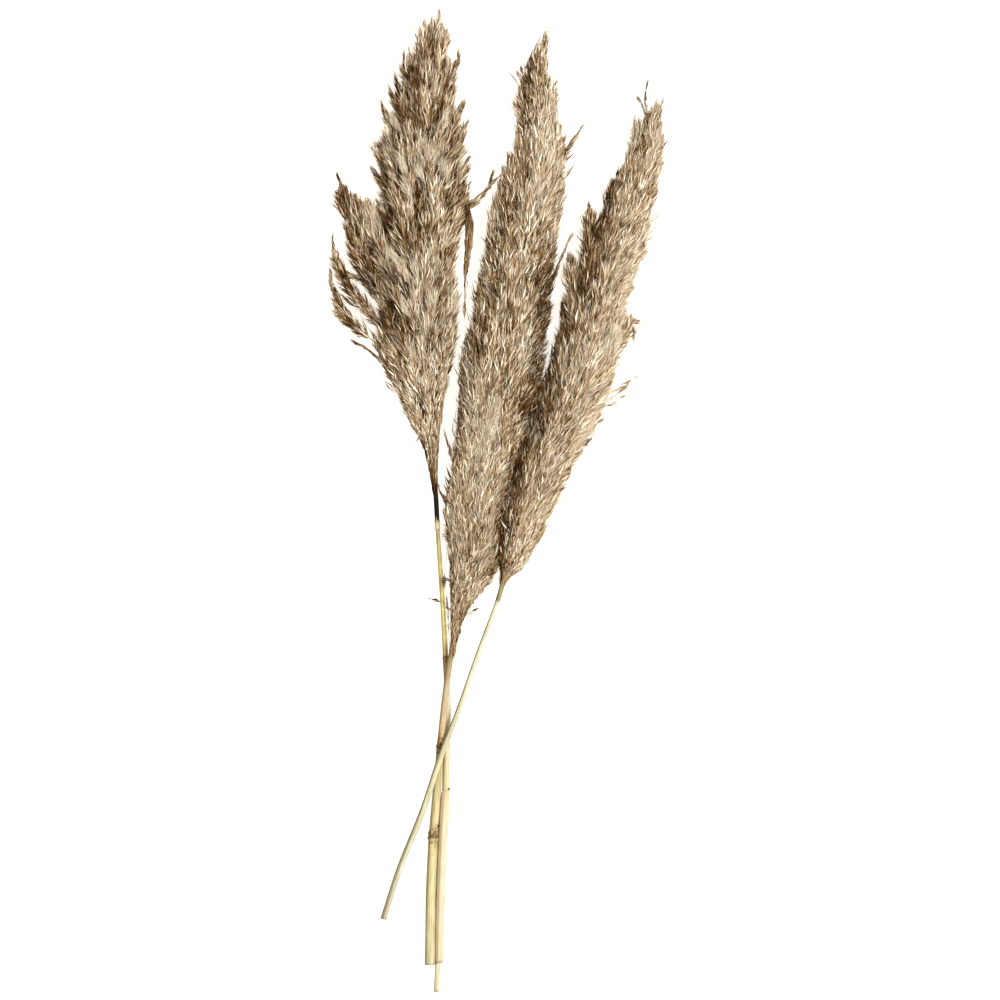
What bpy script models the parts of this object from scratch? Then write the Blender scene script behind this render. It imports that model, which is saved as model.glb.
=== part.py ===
"""A bundle of three dried grass plumes on bare stalks, lying on a level surface.

The stalks lie along Y with their plumes towards +Y, and cross near a third of their length. The
surface is z = 0, and the origin is under the middle of the bundle. Lengths are in millimetres.
"""
import math
import random

import bmesh
import bpy
from mathutils import Vector

MM = 0.001
GAP = 0.3  # left between pieces that touch
GOLDEN = math.radians(137.508)  # turn from one tuft to the next, as on most grass heads

# Stalks. Paths are rows of y, x, z; radii are rows of y, r, straight between rows.
CULM_STEP = 16.0
LEFT_PATH = [
    (-350, -43.4, 3.2),
    (-331, -41.8, 3.2),
    (-284, -40.8, 3.2),
    (-249, -39.6, 3.2),
    (-215, -38.2, 3.3),
    (-207, -37.8, 3.3),
    (-195, -37.3, 2.8),
    (-170, -36.4, 2.5),
    (-134, -36.8, 2.5),
    (-106, -38.2, 2.9),
    (-70, -40.2, 4.6),
    (-41, -42.1, 7.0),
    (-18, -43.6, 9.8),
    (-2, -44.3, 12.0),
    (15.6, -43.9, 14.0),
]
LEFT_RADII = [
    (-350, 2.2),
    (-332, 2.25),
    (-330, 3.15),
    (-207, 3.15),
    (-205, 2.4),
    (-113, 2.2),
    (-111, 1.85),
    (-41, 1.7),
    (-19, 1.7),
    (-17, 2.0),
    (-14, 2.0),
    (-12, 1.6),
    (15.6, 1.6),
]
MIDDLE_PATH = [
    (-331, -49.0, 3.6),
    (-284, -48.3, 3.6),
    (-263, -47.6, 3.6),
    (-234, -46.3, 3.9),
    (-199, -43.6, 4.7),
    (-166, -40.7, 6.5),
    (-134, -37.5, 7.4),
    (-114, -34.6, 8.4),
    (-99, -31.8, 9.6),
]
MIDDLE_RADII = [
    (-331, 3.5),
    (-242, 3.55),
    (-240, 3.75),
    (-237, 3.75),
    (-235, 3.25),
    (-199, 2.9),
    (-177, 2.65),
    (-175.5, 2.9),
    (-173.5, 2.9),
    (-172, 2.6),
    (-134, 2.05),
    (-99, 1.8),
]
BUD_Y = -171.0  # foot of the bud above the upper joint
BUD_LENGTH = 9.0
BUD_RADIUS = 1.1
RIGHT_PATH = [
    (-298, -81.9, 2.6),
    (-263, -70.6, 4.3),
    (-220, -53.9, 7.6),
    (-185, -42.3, 11.0),
    (-149, -28.6, 12.6),
    (-106, -13.7, 13.6),
    (-70, -0.4, 14.0),
    (-56, 3.4, 14.0),
]
RIGHT_RADII = [
    (-298, 2.3),
    (-220, 2.2),
    (-149, 1.9),
    (-72, 1.5),
    (-70, 1.7),
    (-56, 1.7),
]

# Plumes. Rows of y, x, z of the axis and half-width; the shape is level with the surface below.
LEFT_PLUME = [
    (16.3, -43.9, 14.0, 2.6),
    (37, -48.2, 14.0, 5.5),
    (51, -51.0, 14.2, 9.0),
    (66, -54.0, 14.4, 14.0),
    (80, -56.8, 14.5, 20.0),
    (94, -58.6, 14.5, 24.0),
    (109, -60.2, 14.5, 30.0),
    (123, -61.4, 14.5, 36.0),
    (166, -60.8, 14.5, 36.0),
    (222, -55.8, 14.0, 34.5),
    (252, -54.7, 13.5, 34.5),
    (279, -53.6, 12.5, 29.0),
    (309, -51.0, 10.5, 20.0),
    (322, -49.4, 9.5, 13.0),
    (338, -47.0, 8.0, 5.0),
    (348, -45.4, 7.0, 1.0),
]
MIDDLE_PLUME = [
    (-98.4, -31.8, 9.6, 2.2),
    (-77, -28.6, 10.8, 7.5),
    (-63, -23.5, 11.6, 11.0),
    (-49, -18.5, 12.4, 16.0),
    (-20, -16.5, 13.4, 20.5),
    (23, -9.6, 14.2, 24.5),
    (52, -3.0, 14.5, 27.5),
    (94, 2.5, 14.5, 30.0),
    (137, 9.0, 14.5, 28.5),
    (180, 17.0, 14.5, 28.0),
    (223, 23.2, 13.5, 25.5),
    (251, 27.0, 12.5, 22.0),
    (266, 28.4, 11.6, 17.0),
    (294, 26.4, 10.2, 14.0),
    (309, 25.8, 9.4, 9.5),
    (323, 27.9, 8.4, 6.0),
    (335, 30.4, 7.0, 1.0),
]
RIGHT_PLUME = [
    (-55.0, 3.6, 14.0, 2.2),
    (-48.6, 7.5, 13.8, 6.5),
    (-34, 13.2, 13.5, 11.5),
    (-6, 24.6, 13.0, 18.0),
    (23, 34.6, 12.6, 19.5),
    (51, 46.8, 12.4, 22.0),
    (80, 56.8, 12.2, 24.5),
    (109, 63.9, 12.0, 26.0),
    (137, 66.4, 12.0, 23.5),
    (166, 74.3, 12.0, 25.5),
    (194, 85.4, 11.8, 25.0),
    (215, 92.5, 11.0, 20.5),
    (237, 102.9, 10.0, 16.0),
    (251, 106.8, 9.4, 14.5),
    (266, 108.0, 8.8, 11.5),
    (280, 111.0, 8.0, 6.0),
    (291, 111.8, 7.0, 1.0),
]
# Lines in plan between neighbouring plumes, as rows of y, x. Tufts bend clear of them.
LEFT_OF_MIDDLE = [
    (-110, -35.4),
    (-20, -39.3),
    (37, -36.8),
    (94, -30.4),
    (151, -20.4),
    (173, -14.6),
    (194, -11.4),
    (209, -6.8),
    (223, -3.2),
    (350, 2.0),
]
MIDDLE_OF_RIGHT = [(-110, -17.5), (350, 95.3)]
LINE_SPREAD = 1.5  # tufts stop up to this far short of a line

UP_SHARE = 0.75  # height over the axis, as a share of the half-width
CORE_SHARE = 0.62  # the core inside the tufts, as a share of the half-width
CORE_STEP = 20.0
CORE_UNDER = 3.0  # underside of the core over the surface
FLOOR_CLEAR = 0.5  # tufts stay this far over the surface

# Each plume rests on a flat spot under its core, round the weight of the bundle.
REST_Y = {"plume_left": 170.0, "plume_middle": 60.0, "plume_right": 150.0}
REST_HALF = 14.0
REST_BLEND = 8.0
REST_SINK = 2.5  # how far the core is pushed down before it is cut level

TUFTS = {"plume_left": 185, "plume_middle": 205, "plume_right": 180}
TUFT_LENGTH = (28.0, 41.0)
TUFT_RADIUS = (2.5, 3.7)
TUFT_ROOT = 0.45  # how far out from the axis a tuft is rooted, as a share of the half-width
TUFT_TIP = (0.98, 1.16)

# Side branches. Rows of x, y, z, half-width, from root to tip.
LEFT_SPRAYS = [
    [(-74, 126, 16, 5), (-86, 156, 18, 9), (-92, 186, 18, 9), (-95, 212, 16, 2)],
    [(-70, 112, 15, 5), (-88, 141, 16, 8), (-101, 172, 16, 9), (-111, 206, 14, 7), (-117, 236, 12, 2)],
    [(-76, 124, 12, 4), (-101, 147, 12, 5), (-111, 166, 11, 5), (-118, 183, 10, 1.5)],
    [(-74, 108, 10, 4), (-96, 122, 10, 5), (-114, 145, 9, 5), (-121, 163, 8, 1.5)],
    [(-68, 86, 11, 3), (-88, 97, 10, 4), (-104, 116, 9, 1.5)],
    [(-50, 182, 20, 5), (-28, 207, 21, 5), (-12, 222, 20, 4), (-5, 229, 19, 1.5)],
    [(-46, 116, 20, 3), (-30, 148, 19, 3), (-22.5, 175, 17, 3), (-20, 203, 16, 1.5)],
]
MIDDLE_SPRAYS = [
    [(33, 226, 16, 4), (46, 243, 16, 5), (59, 268, 13, 1.5)],
]
RIGHT_SPRAYS = [
    [(62, 150, 17, 5), (62, 180, 17, 6), (65, 208, 14, 1.5)],
    [(72, 84, 15, 2), (84, 86, 14, 1.5)],
]
SPRAY_STEM = 1.1
SPRAY_PITCH = 9.0
SPRAY_TUFT = 17.0


def along(rows, at):
    """The row at a given first value, on a smooth line through the rows."""
    last = len(rows) - 1
    i = 0
    while i < last - 1 and rows[i + 1][0] < at:
        i += 1
    low, high = rows[i], rows[i + 1]
    before, after = rows[max(i - 1, 0)], rows[min(i + 2, last)]
    span = high[0] - low[0]
    t = min(max((at - low[0]) / span, 0.0), 1.0)
    values = []
    for a, b, c, d in zip(before[1:], low[1:], high[1:], after[1:]):
        start = (c - a) / (high[0] - before[0]) * span
        end = (d - b) / (after[0] - low[0]) * span
        values.append(
            b + t * start
            + t * t * (3 * (c - b) - 2 * start - end)
            + t * t * t * (2 * (b - c) + start + end)
        )
    return values


def straight(rows, at):
    """The value at a given first value, on straight lines between the rows."""
    for low, high in zip(rows, rows[1:]):
        if at <= high[0]:
            t = max((at - low[0]) / (high[0] - low[0]), 0.0)
            return low[1] + t * (high[1] - low[1])
    return rows[-1][1]


def stations(first, last, step, extra=()):
    """Even steps from first to last, with extra stations kept and steps near them dropped."""
    count = max(2, round((last - first) / step))
    even = [first + (last - first) * i / count for i in range(1, count)]
    kept = [y for y in even if all(abs(y - e) > step * 0.3 for e in extra)]
    return sorted(set([first, last, *extra, *kept]))


def tube(name, points, radii, sides_resolution=2):
    """A closed tube through points, as a mesh object that isn't in the scene yet."""
    curve = bpy.data.curves.new(name, "CURVE")
    curve.dimensions = "3D"
    curve.bevel_depth = MM
    curve.bevel_resolution = sides_resolution
    curve.use_fill_caps = True
    curve.twist_mode = "Z_UP"
    spline = curve.splines.new("POLY")
    spline.points.add(len(points) - 1)
    for point, co, radius in zip(spline.points, points, radii):
        point.co = (*(Vector(co) * MM), 1.0)
        point.radius = radius
    source = bpy.data.objects.new(name, curve)
    bpy.context.scene.collection.objects.link(source)
    graph = bpy.context.evaluated_depsgraph_get()
    mesh = bpy.data.meshes.new_from_object(source.evaluated_get(graph))
    bpy.data.objects.remove(source)
    bpy.data.curves.remove(curve)
    welded = bmesh.new()
    welded.from_mesh(mesh)
    bmesh.ops.remove_doubles(welded, verts=welded.verts, dist=0.01 * MM)
    bmesh.ops.recalc_face_normals(welded, faces=welded.faces)
    welded.to_mesh(mesh)
    welded.free()
    mesh.name = name
    return bpy.data.objects.new(name, mesh)


def tuft(root, tip, radius):
    """A three-sided spindle from root to tip, widest below its middle."""
    mesh = bpy.data.meshes.new("tuft")
    shape = bmesh.new()
    bmesh.ops.create_uvsphere(shape, u_segments=3, v_segments=2, radius=1.0)
    run = tip - root
    turn = run.to_track_quat("Z", "Y")
    for vert in shape.verts:
        share = 0.42 if abs(vert.co.z) < 0.5 else (vert.co.z + 1) / 2
        side = turn @ Vector((vert.co.x, vert.co.y, 0)) * radius
        vert.co = (root + run * share + side) * MM
    shape.to_mesh(mesh)
    shape.free()
    return bpy.data.objects.new("tuft", mesh)


def material(name, color, roughness):
    """A plain dry-grass finish."""
    made = bpy.data.materials.new(name)
    made.use_nodes = True
    shader = made.node_tree.nodes["Principled BSDF"]
    shader.inputs["Base Color"].default_value = (*color, 1)
    shader.inputs["Roughness"].default_value = roughness
    shader.inputs["Metallic"].default_value = 0.0
    return made


def keep_outer_skin(mesh):
    """Drop the sealed hollows and loose scraps that a union leaves, all but the largest skin."""
    shape = bmesh.new()
    shape.from_mesh(mesh)
    unseen = set(shape.verts)
    skins = []
    while unseen:
        skin = []
        edge_of_skin = [unseen.pop()]
        while edge_of_skin:
            vert = edge_of_skin.pop()
            skin.append(vert)
            for edge in vert.link_edges:
                other = edge.other_vert(vert)
                if other in unseen:
                    unseen.remove(other)
                    edge_of_skin.append(other)
        skins.append(skin)
    skins.sort(key=len)
    for skin in skins[:-1]:
        bmesh.ops.delete(shape, geom=skin, context="VERTS")
    shape.to_mesh(mesh)
    shape.free()


def united(body, pieces, solver="EXACT"):
    """Join the pieces to the body by one Boolean union and remove them."""
    group = bpy.data.collections.new(body.name + "_pieces")
    bpy.context.scene.collection.children.link(group)
    for piece in pieces:
        group.objects.link(piece)
    join = body.modifiers.new("join", "BOOLEAN")
    join.operation = "UNION"
    join.operand_type = "COLLECTION"
    join.collection = group
    join.solver = solver
    graph = bpy.context.evaluated_depsgraph_get()
    mesh = bpy.data.meshes.new_from_object(body.evaluated_get(graph))
    keep_outer_skin(mesh)
    body.modifiers.clear()
    body.data = mesh
    for piece in pieces:
        bpy.data.objects.remove(piece)
    bpy.data.collections.remove(group)


def culm(name, path, radii, finish):
    """A bare stalk, with its joints and sheath ends as steps in its radius."""
    ys = stations(path[0][0], path[-1][0], CULM_STEP, [row[0] for row in radii])
    points = [(along(path, y)[0], y, along(path, y)[1]) for y in ys]
    stalk = tube(name, points, [straight(radii, y) for y in ys])
    parts.objects.link(stalk)
    stalk.data.materials.append(finish)
    return stalk


def core(name, rows):
    """The slim body inside a plume, lower than it is wide, with a level spot to rest on."""
    first, last = rows[0][0], rows[-1][0]
    rest = REST_Y[name]
    ends = [rest - REST_HALF - REST_BLEND, rest - REST_HALF, rest + REST_HALF, rest + REST_HALF + REST_BLEND]
    ys = stations(first, last - 6, CORE_STEP, [first + 4, *ends])
    sections = [along(rows, y) for y in ys]
    points = [(x, y, z) for y, (x, z, half) in zip(ys, sections)]
    body = tube(name, points, [max(half * CORE_SHARE, 1.6) for x, z, half in sections])
    shape = bmesh.new()
    shape.from_mesh(body.data)
    for vert in shape.verts:
        y = min(max(vert.co.y / MM, first), last)
        x, z, half = along(rows, y)
        radius = max(half * CORE_SHARE, 1.6)
        share = (vert.co.z / MM - z) / radius
        off_spot = min(max((abs(y - rest) - REST_HALF) / REST_BLEND, 0.0), 1.0)
        above = min(radius, z - CORE_UNDER)
        depth = above * off_spot + (z + REST_SINK) * (1.0 - off_spot)
        vert.co.z = (z + share * (radius * UP_SHARE if share > 0 else depth)) * MM
    cut = bmesh.ops.bisect_plane(
        shape,
        geom=[*shape.verts, *shape.edges, *shape.faces],
        plane_co=(0, 0, 0),
        plane_no=(0, 0, 1),
        clear_inner=True,
    )
    rim = [item for item in cut["geom_cut"] if isinstance(item, bmesh.types.BMEdge)]
    bmesh.ops.contextual_create(shape, geom=rim)
    bmesh.ops.recalc_face_normals(shape, faces=shape.faces)
    shape.to_mesh(body.data)
    shape.free()
    return body


def plume(name, rows, left, right, sprays, finish, seed):
    """A plume: a slim core along its axis, covered with tufts that point out and up."""
    draw = random.Random(seed)
    count = TUFTS[name]
    first, last = rows[0][0], rows[-1][0]

    def inside(point, room):
        """Keep a point this far over the surface and on its own side of its neighbours."""
        x, y, z = point
        if left:
            x = max(x, along(left, y)[0] + GAP + room)
        if right:
            x = min(x, along(right, y)[0] - GAP - room)
        return Vector((x, y, max(z, FLOOR_CLEAR + room)))

    def surface(y, angle, share):
        """A point at a share of the way out from the axis to the plume's outline."""
        x, z, half = along(rows, min(max(y, first), last))
        rise = half * UP_SHARE
        if math.sin(angle) < 0:
            rise = min(rise, z - FLOOR_CLEAR)
        return Vector((x + share * half * math.cos(angle), y, z + share * rise * math.sin(angle)))

    body = core(name, rows)
    parts.objects.link(body)

    weights = []
    steps = 200
    for i in range(steps):
        half = along(rows, first + (last - first) * (i + 0.5) / steps)[2]
        weights.append(half + 3.0)
    total = sum(weights)
    pieces = []
    passed, i = 0.0, 0
    for k in range(count):
        while i < steps - 1 and passed + weights[i] < total * (k + 0.5) / count:
            passed += weights[i]
            i += 1
        y = first + (last - first) * (i + 0.5) / steps
        angle = k * GOLDEN + draw.uniform(-0.15, 0.15)
        half = along(rows, y)[2]
        length = draw.uniform(*TUFT_LENGTH) * min(1.0, 0.45 + half / 28.0)
        top = min(y + length, last - draw.uniform(0, 4))
        low = min(y, top - length * 0.7)
        root = surface(max(low, first + 1), angle, TUFT_ROOT)
        tip = surface(top, angle + draw.uniform(-0.12, 0.12), draw.uniform(*TUFT_TIP))
        radius = draw.uniform(*TUFT_RADIUS) * min(1.0, 0.5 + half / 30.0)
        pieces.append(tuft(inside(root, radius), inside(tip, draw.uniform(0, LINE_SPREAD)), radius))
    pieces.append(tuft(surface(last - 30, 0.0, 0.0), surface(last, 0.0, 0.0), 2.0))

    for spray in sprays:
        stem_rows = [(i, *row) for i, row in enumerate(spray)]
        reach = len(spray) - 1
        length = sum((Vector(a[:3]) - Vector(b[:3])).length for a, b in zip(spray, spray[1:]))
        stem = [along(stem_rows, j / 3)[:3] for j in range(3 * reach + 1)]
        pieces.append(tube("spray", stem, [SPRAY_STEM] * len(stem), 0))
        number = round(length / SPRAY_PITCH)
        for k in range(number):
            t = reach * (k + 0.5) / number
            x, y, z, half = along(stem_rows, t)
            ahead = along(stem_rows, min(t + 0.1, reach))
            here = Vector((x, y, z))
            heading = (Vector(ahead[:3]) - Vector(along(stem_rows, min(t + 0.1, reach) - 0.1)[:3])).normalized()
            across = heading.cross(Vector((0, 0, 1))).normalized()
            lift = across.cross(heading)
            turn = k * GOLDEN
            out = (across * math.cos(turn) + lift * math.sin(turn)) * half
            tip = here + heading * SPRAY_TUFT * draw.uniform(0.8, 1.2) + out
            pieces.append(tuft(here - heading * 2, inside(tip, 2.0), 1.7))

    united(body, pieces)
    body.data.materials.clear()
    body.data.materials.append(finish)
    return body


for old in list(bpy.data.objects):
    bpy.data.objects.remove(old)
parts = bpy.data.collections.new("grass_plume_bundle")
bpy.context.scene.collection.children.link(parts)

straw = material("straw", (0.75, 0.66, 0.40), 0.55)
pale_straw = material("pale_straw", (0.70, 0.66, 0.44), 0.55)
brown_plume = material("brown_plume", (0.31, 0.22, 0.13), 0.9)
tan_plume = material("tan_plume", (0.38, 0.28, 0.17), 0.9)
pale_plume = material("pale_plume", (0.50, 0.41, 0.28), 0.9)

culm("culm_left", LEFT_PATH, LEFT_RADII, straw)
middle_culm = culm("culm_middle", MIDDLE_PATH, MIDDLE_RADII, straw)
culm("culm_right", RIGHT_PATH, RIGHT_RADII, pale_straw)

bud_x, bud_z = along(MIDDLE_PATH, BUD_Y)
bud_foot = Vector((bud_x - 1.2, BUD_Y, bud_z))
bud_tip = bud_foot + Vector((-2.6, BUD_LENGTH, 0.6))
united(middle_culm, [tuft(bud_foot, bud_tip, BUD_RADIUS)])

plume("plume_left", LEFT_PLUME, None, LEFT_OF_MIDDLE, LEFT_SPRAYS, brown_plume, 11)
plume("plume_middle", MIDDLE_PLUME, LEFT_OF_MIDDLE, MIDDLE_OF_RIGHT, MIDDLE_SPRAYS, tan_plume, 12)
plume("plume_right", RIGHT_PLUME, MIDDLE_OF_RIGHT, None, RIGHT_SPRAYS, pale_plume, 13)
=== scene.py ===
"""A bundle of three dried grass plumes on bare stalks, lying on a pale surface."""
import math

import bpy
import numpy as np
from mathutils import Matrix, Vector


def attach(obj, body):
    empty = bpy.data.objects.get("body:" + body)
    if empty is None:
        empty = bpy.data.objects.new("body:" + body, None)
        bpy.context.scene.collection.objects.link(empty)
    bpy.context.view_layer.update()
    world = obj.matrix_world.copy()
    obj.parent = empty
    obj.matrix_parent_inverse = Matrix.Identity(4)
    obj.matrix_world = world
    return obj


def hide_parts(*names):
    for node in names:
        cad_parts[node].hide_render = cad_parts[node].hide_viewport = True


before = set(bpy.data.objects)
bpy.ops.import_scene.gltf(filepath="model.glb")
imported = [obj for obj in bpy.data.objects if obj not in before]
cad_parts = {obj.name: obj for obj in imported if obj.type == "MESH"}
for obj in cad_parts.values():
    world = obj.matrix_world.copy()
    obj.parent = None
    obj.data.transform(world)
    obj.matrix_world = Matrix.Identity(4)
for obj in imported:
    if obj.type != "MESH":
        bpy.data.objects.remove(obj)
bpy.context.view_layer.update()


# The table top, the light and the camera. A matte white table that glows a little, one broad soft
# lamp high on the right, a weaker one on the left and an even warm white room.
class Wire:
    """A shader socket: the arithmetic signs add Math nodes, and node() adds any other."""

    def __init__(self, tree, socket=None):
        self.tree, self.socket = tree, socket

    def node(self, kind, settings=(), inputs=(), output=0):
        made = self.tree.nodes.new(kind)
        for name, value in dict(settings).items():
            if name == "stops":
                ramp = made.color_ramp
                while len(ramp.elements) < len(value):
                    ramp.elements.new(1.0)
                for element, (place, color) in zip(ramp.elements, value):
                    element.position = place
                    element.color = (*color, 1.0)
            else:
                setattr(made, name, value)
        for key, value in dict(inputs).items():
            if isinstance(value, Wire):
                self.tree.links.new(value.socket, made.inputs[key])
            else:
                made.inputs[key].default_value = value
        return Wire(self.tree, made.outputs[output])

    def math(self, operation, first, second=0.0):
        return self.node("ShaderNodeMath", {"operation": operation}, {0: first, 1: second})

    def __add__(self, other):
        return self.math("ADD", self, other)

    def __radd__(self, other):
        return self.math("ADD", other, self)

    def __sub__(self, other):
        return self.math("SUBTRACT", self, other)

    def __rsub__(self, other):
        return self.math("SUBTRACT", other, self)

    def __mul__(self, other):
        return self.math("MULTIPLY", self, other)

    def __rmul__(self, other):
        return self.math("MULTIPLY", other, self)

    def __abs__(self):
        return self.math("ABSOLUTE", self)

    def place(self):
        return self.node("ShaderNodeTexCoord", output="Object")

    def noise(self, scale, detail=2.0):
        inputs = {"Vector": self, "Scale": scale, "Detail": detail}
        return self.node("ShaderNodeTexNoise", {}, inputs)

    def scaled(self, *factors):
        return self.node("ShaderNodeVectorMath", {"operation": "MULTIPLY"}, {0: self, 1: factors})

    def mix(self, factor, other, blend="MIX"):
        """This colour with another wire, or a plain red, green and blue, blended into it."""
        settings = {"data_type": "RGBA", "blend_type": blend}
        other = other if isinstance(other, Wire) else (*other, 1.0)
        return self.node("ShaderNodeMix", settings, {0: factor, 6: self, 7: other}, 2)

    def ramp(self, *stops):
        return self.node("ShaderNodeValToRGB", {"stops": stops}, {0: self})

    def part(self, axis):
        return self.node("ShaderNodeSeparateXYZ", (), {0: self}, axis)

    def level(self, *stops):
        """A number that runs through the given (place, value) stops."""
        return self.ramp(*[(place, (value,) * 3) for place, value in stops]).part(0)


def new_material(name, roughness, **constants):
    """A material, its shader and an empty Wire to start its nodes from."""
    material = bpy.data.materials.new(name)
    material.use_nodes = True
    shader = material.node_tree.nodes["Principled BSDF"]
    shader.inputs["Roughness"].default_value = roughness
    for key, value in constants.items():
        shader.inputs[key.replace("_", " ")].default_value = value
    return material, shader, Wire(material.node_tree)


def feed(shader, key, wire):
    wire.tree.links.new(wire.socket, shader.inputs[key])


def srgb(red, green, blue):
    """A colour given as on a screen, in the linear values that shaders use."""
    return tuple(((c / 255 + 0.055) / 1.055) ** 2.4 for c in (red, green, blue))


BUNDLE_MIDDLE = Vector((0.0, 0.05, 0.0))


def lamp(name, size, power, place, color):
    """A square lamp that shines on the middle of the bundle."""
    light = bpy.data.lights.new(name, "AREA")
    light.shape = "SQUARE"
    light.size = size
    light.energy = power
    light.color = color
    holder = bpy.data.objects.new(name, light)
    holder.location = place
    holder.rotation_euler = (BUNDLE_MIDDLE - Vector(place)).to_track_quat("-Z", "Y").to_euler()
    bpy.context.scene.collection.objects.link(holder)


TABLE_SIZE, TABLE_DROP = 8.0, 0.0002
bpy.ops.mesh.primitive_plane_add(size=TABLE_SIZE, location=(0, 0, -TABLE_DROP))
table = bpy.context.object
table.name = "table_top"
table_white, shader, wire = new_material("table_white", 0.85, Emission_Strength=0.95)
shader.inputs["Emission Color"].default_value = (1.0, 0.96, 0.88, 1.0)
clouded = wire.place().noise(3.0).ramp((0.3, (0.44, 0.44, 0.44)), (0.7, (0.46, 0.46, 0.46)))
feed(shader, "Base Color", clouded)
table.data.materials.append(table_white)

lamp("key_lamp", size=0.5, power=62.0, place=(0.95, 0.3, 1.85), color=(0.98, 0.99, 1.0))
lamp("fill_lamp", size=1.6, power=12.0, place=(-1.4, 0.2, 1.9), color=(1.0, 1.0, 1.0))
room = bpy.data.worlds.new("white_room")
room.use_nodes = True
room.node_tree.nodes["Background"].inputs["Color"].default_value = (1.0, 0.94, 0.82, 1.0)
room.node_tree.nodes["Background"].inputs["Strength"].default_value = 0.6
bpy.context.scene.world = room
bpy.context.scene.view_settings.view_transform = "Standard"

# Metres across the picture at the plumes' middle height, and the point that it centres on.
VIEW_WIDTH, VIEW_CENTRE = 0.7143, (0.0011, 0.0014, 0.014)
camera = bpy.data.cameras.new("camera")
camera.sensor_width = 36.0
camera.lens = 120.0
distance = VIEW_WIDTH * camera.lens / camera.sensor_width
viewer = bpy.data.objects.new("camera", camera)
viewer.location = (*VIEW_CENTRE[:2], VIEW_CENTRE[2] + distance)
bpy.context.scene.collection.objects.link(viewer)
bpy.context.scene.camera = viewer


# The left plume. An open, jagged flower head: a slim axis, some two hundred curved branches that
# leave it all round and end in pointed lobes, and on every branch twigs of narrow chaffy spikelets
# about a centimetre long, brown at the foot and straw at the tip, with grey silky hairs between.

# Sizes are in millimetres. The rows give the height up the bundle, then the axis, the left and the
# right edge across it, and the axis's lift off the table.
LEFT_PLUME = [
    (16.3, -46.2, -48.6, -44.0, 14.0), (30, -47.2, -50.5, -44.2, 14.0),
    (42, -48.0, -53.0, -44.0, 14.0), (50, -49.0, -59.0, -43.5, 14.2), (70, -50.0, -68.0, -41.0, 14.4),
    (90, -51.0, -79.0, -37.0, 14.5), (110, -52.0, -88.0, -32.0, 14.5),
    (128, -52.5, -92.0, -27.5, 14.5), (150, -53.0, -87.0, -27.0, 14.5),
    (170, -53.5, -87.0, -29.5, 14.5), (190, -53.5, -87.0, -27.0, 14.5),
    (210, -53.0, -85.0, -20.5, 14.5), (230, -53.0, -86.0, -19.5, 14.0),
    (250, -52.5, -85.0, -21.0, 13.5), (270, -52.0, -82.0, -22.0, 12.8),
    (290, -51.0, -76.0, -28.0, 11.8), (310, -50.0, -67.0, -31.0, 10.5),
    (325, -48.5, -60.0, -35.0, 9.5), (340, -46.5, -53.0, -41.0, 8.0), (350, -44.5, -46.0, -43.0, 7.0),
]
# Lobes that stand clear of the rest: the place of the tip, its lift, and the branch's length.
LEFT_LOBES = [
    (-41.5, 359, 8, 45), (-47, 352, 9, 40), (-52.5, 347, 8, 42), (-57, 338, 10, 45),
    (-65, 328, 11, 48), (-73.5, 325, 10, 45), (-28.5, 349, 10, 45), (-38.5, 347, 9, 40),
    (-21.5, 327, 12, 52), (-22, 291, 13, 55), (-18.5, 277, 14, 50), (-75, 306, 12, 55),
    (-79, 299, 14, 56), (-84.5, 287, 14, 58), (-91.5, 258, 15, 58), (-88, 260, 11, 55),
    (-84, 261, 20, 50), (-92.5, 242, 14, 50), (-90, 220, 13, 48), (-18.5, 250, 15, 50),
    (-18, 232, 14, 50), (-60, 300, 26, 50), (-45, 300, 28, 50),
]
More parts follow.
